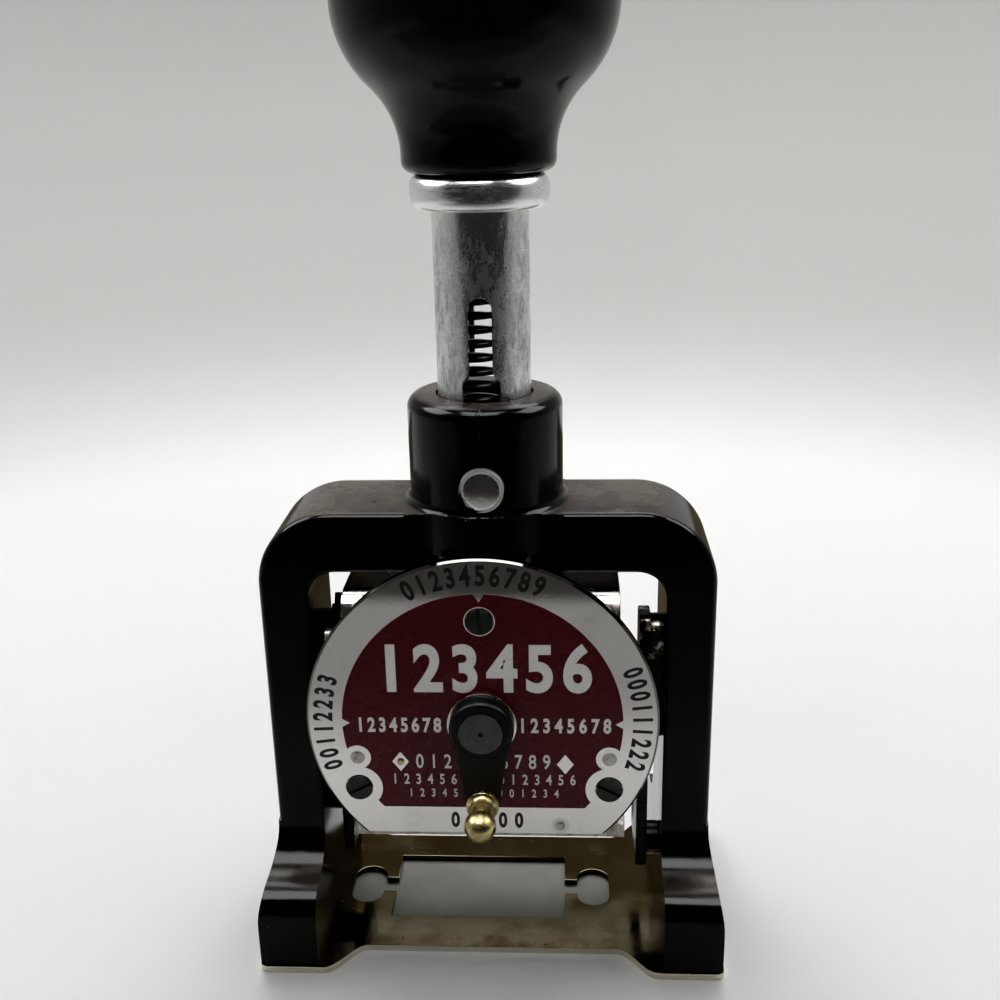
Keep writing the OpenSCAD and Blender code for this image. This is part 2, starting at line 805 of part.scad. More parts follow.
module knob()
    color(enamel)
        difference() {
            rotate_extrude() knob_section();
            translate([0, 0, knob_z - over]) cylinder(r = tube_r + 0.02, h = tube_top - knob_z + over);
            translate([0, 0, tube_top - over]) cylinder(r = plug_spigot_r + 0.02, h = plug_len + over);
        }

// ---- carriage ----

module cheek_outline() {
    translate([-yoke_front, yoke_top - 22]) square([yoke_front + yoke_rear, 22 - bend_r]);
    translate([-yoke_front + bend_r, yoke_top - bend_r])
        square([yoke_front + yoke_rear - bend_r, bend_r]);
    translate([-yoke_front + bend_r, yoke_top - bend_r]) circle(bend_r);
    translate([-yoke_front, dial_z - screw_dz - 4]) square([7, 20]);
    translate([-cheek_r, axle_z]) square([2 * cheek_r, yoke_top - 20 - axle_z]);
    translate([0, axle_z]) circle(cheek_r);
}

// A slot of half width w on the cam pins' radius about the axle, from angle a0 to a1, with slightly
// wider round ends
module arc_slot(a0, a1, w)
    translate([0, axle_z]) {
        intersection() {
            difference() {
                circle(cam_arm + w);
                circle(cam_arm - w);
            }
            polygon([[0, 0], for (a = [a0, (a0 + a1) / 2, a1]) 2 * cam_arm * [cos(a), sin(a)]]);
        }
        for (a = [a0, a1])
            rotate(a)
                translate([cam_arm, 0])
                    circle(w + 0.05);
    }

screw_len = 7;
screw_shank_r = 1.15;
top_screw_len = dial_t + apron_t - 0.4;
// Each dial screw's place about the dial's centre, its length under the face, and its slot's slant
dial_screw_at = [
    [-screw_dx, -screw_dz, screw_len, -28],
    [screw_dx, -screw_dz, screw_len, 28],
    [0, top_screw_dz, top_screw_len, 86]];
dowel_at = [[-screw_dx, -dowel_dz], [screw_dx, -dowel_dz]];

module yoke()
    color(nickel)
        difference() {
            along_x(left_out, right_out) cheek_outline();
            translate([left_in, -yoke_front + apron_t, 0])
                cube([right_in - left_in, yoke_front + yoke_rear, yoke_top - bridge_t]);
            translate([left_in, -yoke_front - over, 0])
                cube([right_in - left_in, apron_t + 2 * over, yoke_top - apron_h]);
            translate([0, 0, yoke_top - bridge_t - over])
                cylinder(r = spigot_r + fit, h = bridge_t + 2 * over);
            bar_x(left_out - over, right_out + over, 0, axle_z, axle_r + 0.02);
            bar_x(left_out - over, right_out + over, polar(detent_r, detent_a)[0],
                polar(detent_r, detent_a)[1], 1.22);
            // The feed pin swings in this slot
            along_x(right_in - over, right_out + over)
                arc_slot(feed_pin_a - feed_swing, feed_pin_a, cam_pin_r + gap);
            for (p = dial_screw_at)
                bar_y(-yoke_front - over, -yoke_front + p[2] - dial_t, dial_x + p[0],
                    dial_z + p[1], screw_shank_r + 0.02);
            for (p = dowel_at)
                bar_y(-yoke_front - over, -yoke_front + 3, dial_x + p[0], dial_z + p[1],
                    dowel_r + 0.02);
            bar_x(left_out - over, left_out + stud_sunk + 0.1, -stud_y, stud_z, stud_r + 0.02);
        }

module wheel_axle()
    color(steel)
        difference() {
            union() {
                bar_x(pad_arm_left - pad_arm_t, pad_arm_right + pad_arm_t + 0.3, 0, axle_z, axle_r);
                bar_x(pad_arm_right + pad_arm_t + 0.3, pad_arm_right + pad_arm_t + 1.2, 0, axle_z, 3.4);
            }
            translate([pad_arm_right + pad_arm_t + 1.2, 0, axle_z])
                cube([0.9, 8, 0.7], center = true);
        }

module wheel_spacer()
    color(steel)
        difference() {
            bar_x(feed_x1 + arm_t + gap, right_in - gap, 0, axle_z, hub_out_r);
            bar_x(feed_x1, right_in, 0, axle_z, axle_r + fit);
        }

// Sprung fingers that settle each wheel on a figure
module detent_comb()
    color(steel)
        difference() {
            union() {
                bar_x(bank_x, bank_x + bank_w, polar(detent_r, detent_a)[0],
                    polar(detent_r, detent_a)[1], 2);
                for (i = [0 : wheel_count - 1])
                    finger(i)
                        polygon([polar(detent_r, detent_a + 6), polar(tip_r + 1.4, detent_a + 9),
                            polar(tip_r + 0.05, detent_a + 1), polar(tip_r + 1, detent_a - 4),
                            polar(detent_r, detent_a - 5)]);
            }
            bar_x(bank_x - over, bank_x + bank_w + over, polar(detent_r, detent_a)[0],
                polar(detent_r, detent_a)[1], 1.22);
        }

module detent_rod()
    color(steel)
        bar_x(left_out, right_out, polar(detent_r, detent_a)[0], polar(detent_r, detent_a)[1], 1.2);

// Extrudes the drawing of a finger between the drums, over ratchet i
module finger(i) {
    mid = bank_x + (i + 1) * wheel_pitch - (wheel_pitch - drum_w) / 2 + side_play;
    along_x(mid - finger_w / 2, mid + finger_w / 2) children();
}

// The stud on the left cheek, and how far it is let into the cheek
stud_y = 8;
stud_z = yoke_top - 8.9;
stud_r = 1.1;
stud_sunk = 1.9;

module spring_stud()
    color(nickel) {
        bar_x(left_out - 3.6, left_out + stud_sunk, -stud_y, stud_z, stud_r);
        bar_x(left_out - 1.5, left_out, -stud_y, stud_z, stud_r + 0.8);
    }

// ---- number wheels ----

module ratchet_outline() {
    teeth = 10;
    polygon([for (i = [0 : teeth - 1]) each [
        (ratchet_r - tooth_h) * [cos(36 * i), sin(36 * i)],
        ratchet_r * [cos(36 * i + 4), sin(36 * i + 4)],
        (ratchet_r - tooth_h * 0.45) * [cos(36 * i + 20), sin(36 * i + 20)]]]);
}

module drum_outline()
    difference() {
        circle(type_r);
        // Ten gaps leave ten raised type blocks
        for (i = [0 : 9])
            rotate(36 * i + 18)
                translate([type_r - type_h, -1.1])
                    square([type_h + over, 2.2]);
    }

module number_wheel(i) {
    x0 = bank_x + i * wheel_pitch + side_play;
    color(wheel_colour)
        difference() {
            union() {
                along_x(x0, x0 + drum_w) translate([0, axle_z]) rotate(-90) drum_outline();
                along_x(x0 + drum_w - 0.01, x0 + drum_w + ratchet_w)
                    translate([0, axle_z]) ratchet_outline();
            }
            bar_x(x0 - over, x0 + wheel_pitch, 0, axle_z, axle_r + fit);
        }
}

// ---- feed ----

module feed_arm_outline()
    difference() {
        union() {
            translate([0, axle_z]) circle(hub_out_r);
            link([0, axle_z], polar(pawl_pivot_r, pawl_rest_a), 1.9);
            children();
        }
        translate([0, axle_z]) circle(axle_r + fit);
        translate(polar(pawl_pivot_r, pawl_rest_a)) circle(1.02);
    }

module feed_arm_left()
    color(nickel)
        along_x(feed_x0 - arm_t, feed_x0) feed_arm_outline();

module feed_arm_right()
    color(nickel)
        along_x(feed_x1, feed_x1 + arm_t)
            difference() {
                feed_arm_outline() link([0, axle_z], polar(cam_arm, feed_pin_a), 2.3);
                translate(polar(cam_arm, feed_pin_a)) circle(cam_pin_r + 0.02);
            }

module feed_rod()
    color(steel)
        bar_x(feed_x0 - arm_t, feed_x1 + arm_t, polar(pawl_pivot_r, pawl_rest_a)[0],
            polar(pawl_pivot_r, pawl_rest_a)[1], 1);

module feed_pin()
    color(steel)
        bar_x(feed_x1, cam_x + cam_t, polar(cam_arm, feed_pin_a)[0], polar(cam_arm, feed_pin_a)[1],
            cam_pin_r);

// Comb pawl: one finger for each wheel's ratchet
module feed_pawl() {
    p = polar(pawl_pivot_r, pawl_rest_a);
    color(steel)
        difference() {
            union() {
                bar_x(feed_x0 + gap, feed_x1 - gap, p[0], p[1], pawl_hub_r);
                for (i = [0 : wheel_count - 1])
                    finger(i)
                        polygon([p + pawl_hub_r * [cos(pawl_rest_a + 60), sin(pawl_rest_a + 60)],
                            polar(tip_r + 0.9, pawl_rest_a + 16), polar(tip_r, pawl_rest_a + 20),
                            polar(tip_r, pawl_rest_a + 12), polar(tip_r + 1.2, pawl_rest_a + 2),
                            p + pawl_hub_r * [cos(pawl_rest_a - 120), sin(pawl_rest_a - 120)]]);
            }
            bar_x(feed_x0, feed_x1, p[0], p[1], 1 + fit);
        }
}

// ---- dial and selector ----

module dial_plate()
    color(nickel)
        difference() {
            intersection() {
                translate([dial_x, -dial_back, dial_z])
                    rotate([90, 0, 0]) {
                        cylinder(r = dial_r, h = dial_t - 0.35);
                        translate([0, 0, dial_t - 0.36])
                            cylinder(r1 = dial_r, r2 = dial_r - 0.35, h = 0.36);
                    }
                translate([dial_x - dial_r, -dial_front, dial_z - dial_flat])
                    cube([2 * dial_r, dial_t, dial_r + dial_flat]);
            }
            bar_y(-dial_front - over, -dial_back + over, dial_x, dial_z, 2 + fit);
            for (p = dial_screw_at) {
                bar_y(-dial_front - over, -dial_back + over, dial_x + p[0], dial_z + p[1],
                    screw_shank_r + fit);
                bar_y(-dial_front - over, -dial_front + 0.7, dial_x + p[0], dial_z + p[1],
                    screw_r + 0.12);
            }
            for (p = dowel_at)
                bar_y(-dial_front - over, -dial_back + over, dial_x + p[0], dial_z + p[1],
                    dowel_r + 0.02);
        }

module dial_screws()
    color([0.10, 0.10, 0.11])
        for (p = dial_screw_at)
            difference() {
                union() {
                    bar_y(-dial_front - 0.4, -dial_front + 0.65, dial_x + p[0], dial_z + p[1], screw_r);
                    bar_y(-dial_front, -dial_front + p[2] - 0.3, dial_x + p[0], dial_z + p[1],
                        screw_shank_r);
                }
                translate([dial_x + p[0], -dial_front - 0.4, dial_z + p[1]])
                    rotate([0, p[3], 0])
                        cube([2 * screw_r + over, 1, 0.55], center = true);
            }

module dial_dowels()
    color(steel)
        for (p = dowel_at)
            bar_y(-dial_front - 0.08, -dial_back + 2.8, dial_x + p[0], dial_z + p[1], dowel_r);

// Bent leaf spring whose bead rides on the selector's disc
leaf_t = 0.5;
bead_r = 0.85;

module selector_spring() {
    apron_z = yoke_top - apron_h;
    apron_rear = -yoke_front + apron_t;
    bead_z = dial_z + stop_disc_r + gap + bead_r - 0.15;
    color(steel)
        along_x(dial_x - 1.5, dial_x + 1.5) {
            translate([apron_rear, apron_z - leaf_t]) square([leaf_t, apron_h - 3]);
            translate([-yoke_front + 0.6, apron_z - leaf_t]) square([apron_t - 0.5, leaf_t]);
            translate([-yoke_front + 0.6, bead_z]) square([leaf_t, apron_z - bead_z]);
            translate([-yoke_front + 0.6 + leaf_t / 2 + 0.1, bead_z]) circle(bead_r - 0.15);
        }
}

module selector_washer()
    color(nickel)
        difference() {
            bar_y(-washer_y - washer_t, -washer_y, dial_x, dial_z, washer_r);
            bar_y(-washer_y - over, -washer_y + over, dial_x, dial_z, 2 + fit);
        }

module selector_lever()
    color(enamel)
        difference() {
            union() {
                // Hub: a disc with its front edge taken off
                translate([dial_x, -washer_y - washer_t, dial_z])
                    rotate([90, 0, 0]) {
                        hub_t = hub_y - washer_y - washer_t;
                        cylinder(r = hub_r, h = hub_t - 0.5);
                        translate([0, 0, hub_t - 0.5]) cylinder(r1 = hub_r, r2 = hub_r - 0.5, h = 0.5);
                    }
                along_y(-lever_y - lever_t, -lever_y)
                    taper_link([dial_x, dial_z], [dial_x, knob_pin_z], hub_r - 0.6, arm_end_r);
            }
            bar_y(-hub_y - over, 0, dial_x, dial_z, 2 + 0.02);
            bar_y(-hub_y - over, 0, dial_x, knob_pin_z, 1.02);
        }

module selector_shaft()
    color(steel) {
        bar_y(-hub_y, -dial_back + 1.5, dial_x, dial_z, 2);
        bar_y(-pivot_y, -hub_y, dial_x, dial_z, pivot_r);
    }

module selector_knob()
    color(brass)
        translate([dial_x, -lever_y - lever_t, knob_pin_z])
            rotate([90, 0, 0]) {
                ball_y = 6.1;
                neck = 1.5;
                rotate_extrude()
                    union() {
                        square([2.6, 0.9]);
                        square([neck, ball_y]);
                        difference() {
                            translate([0, 0.9]) square([2.6, 1.1]);
                            translate([2.6 + 0.3, 2]) circle(1.1);
                        }
                        intersection() {
                            translate([0, ball_y]) circle(ball_r);
                            square(ball_y + ball_r);
                        }
                    }
                translate([0, 0, -lever_t]) cylinder(r = 1, h = lever_t + 0.1);
            }

module selector_disc()
    color(steel)
        difference() {
            bar_y(-dial_back + 0.3, -dial_back + 1.5, dial_x, dial_z, stop_disc_r);
            bar_y(-dial_back, -dial_back + 3, dial_x, dial_z, 2.02);
            for (i = [0 : 3])
                translate([dial_x, -dial_back, dial_z])
                    rotate([0, 90 * i, 0])
                        translate([stop_disc_r + 0.2, 0, 0])
                            rotate([-90, 0, 0])
                                cylinder(r = 1.1, h = 3);
        }

// ---- ink pad ----

module pad_arm_outline(cam)
    difference() {
        union() {
            translate([0, axle_z]) circle(hub_out_r);
            polygon([[-pad_d / 2, tray_z], [pad_d / 2, tray_z], [pad_d / 2, tray_z + 2.4],
                [2.6, tray_z + 4.4], [hub_out_r - 0.4, axle_z], [-hub_out_r + 0.4, axle_z],
                [-2.6, tray_z + 4.4], [-pad_d / 2, tray_z + 2.4]]);
            if (cam)
                link([0, axle_z], polar(cam_arm, 0), 2.3);
        }
        translate([0, axle_z]) circle(axle_r + fit);
        if (cam)
            translate(polar(cam_arm, 0)) circle(cam_pin_r + 0.02);
    }

felt_x0 = bank_x - 0.4;
felt_w = bank_w + 0.8;
lip_h = 1.2;

module pad_carrier()
    color(steel) {
        along_x(pad_arm_left - pad_arm_t, pad_arm_left) pad_arm_outline(true);
        along_x(pad_arm_right, pad_arm_right + pad_arm_t) pad_arm_outline(false);
        translate([pad_arm_left - 0.01, -pad_d / 2, tray_z])
            cube([pad_arm_right - pad_arm_left + 0.02, pad_d, pad_sheet]);
        for (y = [-pad_d / 2, pad_d / 2 - 0.5])
            translate([felt_x0, y, tray_z + pad_sheet - 0.01])
                cube([felt_w, 0.5, lip_h]);
    }

module pad_pin()
    color(steel)
        bar_x(-cam_x - cam_t, pad_arm_left, polar(cam_arm, 0)[0], polar(cam_arm, 0)[1], cam_pin_r);

module felt_pad()
    color([0.10, 0.08, 0.16])
        translate([felt_x0, -pad_d / 2 + 0.55, tray_z + pad_sheet])
            cube([felt_w, pad_d - 1.1, felt_t]);

base_plate();
base_screws();
frame_casting();
cam_plate_left();
cam_plate_right();
cam_screws();
spring_seat();
lock_pin();
knob();
ferrule_ring();
plunger_tube();
tube_plug();
tube_nut();
main_spring();
yoke();
wheel_axle();
wheel_spacer();
detent_comb();
detent_rod();
dial_plate();
dial_screws();
dial_dowels();
selector_spring();
spring_stud();
number_wheel(5);  // number_wheel_1
number_wheel(4);  // number_wheel_2
number_wheel(3);  // number_wheel_3
number_wheel(2);  // number_wheel_4
number_wheel(1);  // number_wheel_5
number_wheel(0);  // number_wheel_6
feed_arm_left();
feed_arm_right();
feed_rod();
feed_pin();
feed_pawl();
selector_washer();
selector_lever();
selector_shaft();
selector_knob();
selector_disc();
pad_carrier();
pad_pin();
felt_pad();
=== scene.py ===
# %% [markdown]
# # A hand numbering machine
# The machine is an inverted U of black enamelled iron. A sprung plunger slides through the boss on its
# top and carries six number wheels, the feed that steps them, an ink pad and a dial with a selector.
# The exact solids come from CAD and stay where they are. This file rounds their edges, gives each one
# its finish, and adds what a solid model leaves out: smooth coils, enamel, printed figures, raised type
# and felt.

import json
import math

import bpy
from mathutils import Matrix, Vector


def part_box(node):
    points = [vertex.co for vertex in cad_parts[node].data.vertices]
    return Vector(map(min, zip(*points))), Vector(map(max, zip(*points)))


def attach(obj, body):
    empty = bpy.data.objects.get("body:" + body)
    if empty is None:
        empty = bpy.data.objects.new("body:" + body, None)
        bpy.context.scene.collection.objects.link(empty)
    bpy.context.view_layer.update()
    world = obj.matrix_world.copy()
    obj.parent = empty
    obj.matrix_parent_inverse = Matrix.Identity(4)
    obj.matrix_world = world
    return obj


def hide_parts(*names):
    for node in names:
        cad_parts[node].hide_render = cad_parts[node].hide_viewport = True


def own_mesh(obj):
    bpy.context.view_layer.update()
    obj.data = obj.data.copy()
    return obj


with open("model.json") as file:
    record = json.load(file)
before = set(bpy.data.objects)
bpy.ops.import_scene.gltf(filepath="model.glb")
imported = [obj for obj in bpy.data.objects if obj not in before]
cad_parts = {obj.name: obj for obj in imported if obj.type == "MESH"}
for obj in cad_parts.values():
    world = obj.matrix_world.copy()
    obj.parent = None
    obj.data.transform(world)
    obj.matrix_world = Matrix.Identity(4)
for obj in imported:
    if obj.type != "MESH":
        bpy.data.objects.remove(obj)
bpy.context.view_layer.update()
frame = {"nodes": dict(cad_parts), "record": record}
MM = 0.001
body_of = {node: body for body, nodes in frame["record"]["behaviour"]["bodies"].items() for node in nodes}

# %% [markdown]
# ## Places that several steps share
# A pattern in a finish often has to sit on one part of a shape, such as the painted shade round the
# dial's rim or the ink low on the type. Each place that several steps need is named once, in millimetres
# from the frame's origin, so a shape and its finish can't drift apart. The print lies so close over the
# metal that it looks like ink, and just far enough for the two not to flicker through each other.

# %% Places
floor_r = 270
dial_x, dial_z, dial_face, dial_r = -0.75, 42.3, -14.2, 27.85
field_thick, print_lift = 0.1, 0.012
button_z, dome_r, button_face = 80.4, 2.75, -13.0
axle_z, type_r = 28.3, 9.3
print("dial's centre at", (dial_x, dial_z), "and the wheels' axle at height", axle_z)

# %% [markdown]
# ## Camera
# The camera stands in front of the machine and a little above it, so that the dial, the arch's top and
# the base plate all show. It could be aimed with a constraint, but its axes are written out here, so
# that its small roll is kept and nothing has to be evaluated.

# %% Camera
forward = Vector((-0.0542, 0.9454, -0.3213)).normalized()
right = Vector((0.9985, 0.0504, -0.0200))
right = (right - right.project(forward)).normalized()
up = right.cross(forward)
lens = bpy.data.cameras.new("bench_camera")
lens.lens, lens.sensor_width, lens.clip_start = 43.13, 36.0, 0.01
camera = bpy.data.objects.new("bench_camera", lens)
stand = Vector((12.42, -181.13, 136.26)) * MM
axes = Matrix((right, up, -forward)).transposed().to_4x4()
camera.matrix_world = Matrix.Translation(stand) @ axes
bpy.context.collection.objects.link(camera)
bpy.context.scene.camera = camera
print("camera looks down by", round(math.degrees(math.asin(-forward.z)), 1), "degrees")

# %% [markdown]
# ## Working by hand, in code
# Blender's operators act on whatever is selected, so each step starts by selecting one piece alone.
# A turned shape starts as a filled circle, and each ring of it is one extrusion and one resize about
# its axis. Spinning a profile would do as well, but it leaves a seam to merge and poles to close.

# %% Selecting and turning
def only(*pieces):
    """Selects these pieces and nothing else, and makes the first one active"""
    bpy.ops.object.select_all(action="DESELECT")
    for piece in pieces:
        piece.select_set(True)
    bpy.context.view_layer.objects.active = pieces[0]


def named(name):
    """Names the active object and its mesh"""
    piece = bpy.context.object
    piece.name = piece.data.name = name
    return piece


def into_mesh(piece):
    """Puts a piece's place, turn and size into its mesh, which leaves the object at the origin"""
    only(piece)
    bpy.ops.object.transform_apply(location=True, rotation=True, scale=True)
    return piece


def apply_modifier(piece, kind, **settings):
    """Adds a modifier with these settings and applies it at once"""
    only(piece)
    modifier = piece.modifiers.new(kind.lower(), kind)
    for key, value in settings.items():
        setattr(modifier, key, value)
    bpy.ops.object.modifier_apply(modifier=modifier.name)


def turned(name, rings, sides=96):
    """Turns a closed piece about the Z axis from rings of (radius, height) in millimetres"""
    radius, height = rings[0]
    bpy.ops.mesh.primitive_circle_add(
        vertices=sides, radius=radius * MM, fill_type="NGON", location=(0, 0, height * MM)
    )
    piece = into_mesh(named(name))
    bpy.ops.object.mode_set(mode="EDIT")
    bpy.ops.mesh.select_all(action="SELECT")
    for (r0, z0), (r1, z1) in zip(rings, rings[1:]):
        bpy.ops.mesh.extrude_region_move(TRANSFORM_OT_translate={"value": (0, 0, (z1 - z0) * MM)})
        bpy.ops.transform.resize(value=(r1 / r0, r1 / r0, 1), center_override=(0, 0, 0))
    bpy.ops.object.mode_set(mode="OBJECT")
    return piece


def outward(piece):
    """Points every face of a closed piece outwards"""
    only(piece)
    bpy.ops.object.mode_set(mode="EDIT")
    bpy.ops.mesh.select_all(action="SELECT")
    bpy.ops.mesh.remove_doubles(threshold=1e-6)
    bpy.ops.mesh.normals_make_consistent(inside=False)
    bpy.ops.object.mode_set(mode="OBJECT")
    return piece


# %% [markdown]
# ## The studio
# A product like this is shot on a sheet of pale paper that curves up behind it. Here the paper is a
# wide round tray, turned like the pieces are, so that it stands behind the machine from every side.
# Its last face, the lid, is deleted. Its own underside lets a view from below through.

# %% Paper sweep
curve_r, wall_top, steps, sink = 300, 900, 16, 0.05
bowl_rings = [(floor_r, 0)]
for i in range(1, steps + 1):
    a = math.radians(90 * i / steps)
    bowl_rings.append((floor_r + curve_r * math.sin(a), curve_r * (1 - math.cos(a))))
bowl_rings.append((floor_r + curve_r, wall_top))
sweep = turned("paper_sweep", bowl_rings)
bpy.ops.object.mode_set(mode="EDIT")
bpy.ops.mesh.delete(type="ONLY_FACE")
bpy.ops.mesh.select_all(action="SELECT")
bpy.ops.mesh.normals_make_consistent(inside=True)
bpy.ops.object.mode_set(mode="OBJECT")
bpy.ops.object.shade_smooth()
sweep.location.z = -sink * MM
into_mesh(sweep)
# the soft boxes stand outside the tray and shine through it
sweep.visible_shadow = False
print("sweep:", len(sweep.data.polygons), "faces")

# %% [markdown]
# ## Light
# Polished metal and enamel show what stands round them more than the light that falls on them, so the
# two are set apart. Three large soft boxes light the paper and the machine, from both sides and from
# above and behind, and are kept out of reflections. Four glowing panels do the opposite: they are seen
# in reflections only, and draw the lines of light on rims and rounded edges. Lamps could draw them as
# well, but a lamp sends its light over the paper too, and leaves an edge where its beam ends. The studio
# is a room, so its places and sizes are in metres.

# %% Soft boxes
aim = Vector((0, 0, 0.08))


def aimed(place):
    """The turn that points a lamp or a panel at the machine's middle"""
    return (aim - Vector(place)).to_track_quat("-Z", "Y").to_euler()


def softbox(name, place, size, power, colour=(1.0, 1.0, 1.0)):
    """A large lamp that lights the machine and the paper, and is not mirrored in them"""
    data = bpy.data.lights.new(name, "AREA")
    data.shape, data.size, data.size_y = "RECTANGLE", *size
    data.energy, data.color = power, colour
    box = bpy.data.objects.new(name, data)
    box.location = place
    box.rotation_euler = aimed(place)
    box.visible_camera = box.visible_glossy = False
    bpy.context.collection.objects.link(box)


softbox("left_softbox", (-0.80, 0.0, 0.55), (0.9, 0.8), 1.42, (1.0, 0.99, 0.97))
softbox("right_softbox", (0.82, 0.0, 0.55), (0.9, 0.8), 1.02, (0.98, 0.99, 1.0))
softbox("top_softbox", (-0.05, 0.42, 0.95), (0.9, 0.9), 9.8)
print("lamps:", len(bpy.data.lights))

# %% [markdown]
# ## Flags and panels
# The operator's side stays dark, as it does where someone stands at the bench: a dark card behind the
# camera, and another on the table that is a painted shadow, are seen in reflections only. In a studio
# such a card is a flag.
# A small tan one close behind the machine gives the base plate something warm to mirror. A flag and a
# glowing panel are the same thing to model, a plane, so one function makes both.

# %% Flags and panels
def flag(name, place, size, turn=(0, 0, 0)):
    """A card that only reflections see, so it never stands in the way of a view"""
    bpy.ops.mesh.primitive_plane_add(size=1, location=place, rotation=turn)
    card = named(name)
    card.scale = (*size, 1)
    into_mesh(card)
    card.visible_camera = card.visible_diffuse = card.visible_shadow = False
    return card


flags = {
    # the card on the table is a painted shadow of the operator, seen only in reflections
    "table_shadow_flag": flag("table_shadow_flag", (0, -0.145, 0.0004), (1.1, 0.21)),
    "camera_flag": flag("camera_flag", (0, -0.22, 0.19), (1.2, 0.38), (math.pi / 2, 0, math.radians(8))),
    "tan_flag": flag("tan_flag", (0, 0.074, 0.033), (0.175, 0.064), (math.pi / 2, 0, 0)),
}
# each panel's place, size and glow
panels = {
    "left_panel": ((-0.46, 0.03, 0.48), (0.4, 0.35), 9.5),
    "right_panel": ((0.46, 0.03, 0.48), (0.4, 0.35), 8.2),
    "front_panel": ((-0.04, -0.30, 0.86), (0.6, 0.5), 10.0),
    "back_panel": ((0, 0.40, 0.70), (0.9, 0.42), 6.0),
}
for name, (place, size, _) in panels.items():
    flags[name] = flag(name, place, size, aimed(place))
print("flags and panels:", ", ".join(flags))

# %% [markdown]
# ## Room and tone curve
# The room itself gives almost no light, only a cool trace that keeps hollows from going quite black.
# A camera deepens the darkest tones and leaves white where it is. The curve does the same: far above
# its toe a level is kept, and far below it the level is squared away.

# %% Room and tone curve
room = bpy.data.worlds.new("room")
room.use_nodes = True
air = room.node_tree.nodes["Background"].inputs
air["Color"].default_value = (0.93, 0.96, 1.0, 1)
air["Strength"].default_value = 0.05
bpy.context.scene.world = room
look = bpy.context.scene.view_settings
look.view_transform, look.use_curve_mapping = "Standard", True
toe = 0.03
tone = look.curve_mapping.curves[3].points
for level in (0.004, 0.012, 0.03, 0.08, 0.25, 0.6):
    tone.new(level, (1 + toe) * level**2 / (level + toe)).handle_type = "VECTOR"
look.curve_mapping.update()
print("tone curve:", len(tone), "points")

# %% [markdown]
# ## Writing a finish
# A finish is a set of nodes round one shader. Drawing them by hand is slow to read back, so two small
# classes write them. `Value` wraps a socket, so `1 - mask * 0.5` adds Math nodes as it is worked out.
# `Finish` starts a material, and its `node` adds any node: its settings first, then its sockets.

# %% Shader maths
class Value:
    """A node's output that can be reckoned with like a number"""

    def __init__(self, finish, socket):
        self.finish, self.socket = finish, socket

    def _maths(self, operation, *terms, clamp=False):
        settings = {"operation": operation, "use_clamp": clamp}
        return self.finish.node("ShaderNodeMath", settings, dict(enumerate(terms)))

    def __add__(self, other):
        return self._maths("ADD", self, other)

    def __sub__(self, other):
        return self._maths("SUBTRACT", self, other)

    def __rsub__(self, other):
        return self._maths("SUBTRACT", other, self)

    def __mul__(self, other):
        return self._maths("MULTIPLY", self, other)

    def __truediv__(self, other):
        return self._maths("DIVIDE", self, other)

    def __pow__(self, other):
        return self._maths("POWER", self, other)

    def __abs__(self):
        return self._maths("ABSOLUTE", self)

    def wave(self):
        return self._maths("SINE", self)

    def clamped(self):
        return self._maths("ADD", self, 0.0, clamp=True)

    def most(self, other):
        return self._maths("MAXIMUM", self, other)

    __radd__, __rmul__ = __add__, __mul__


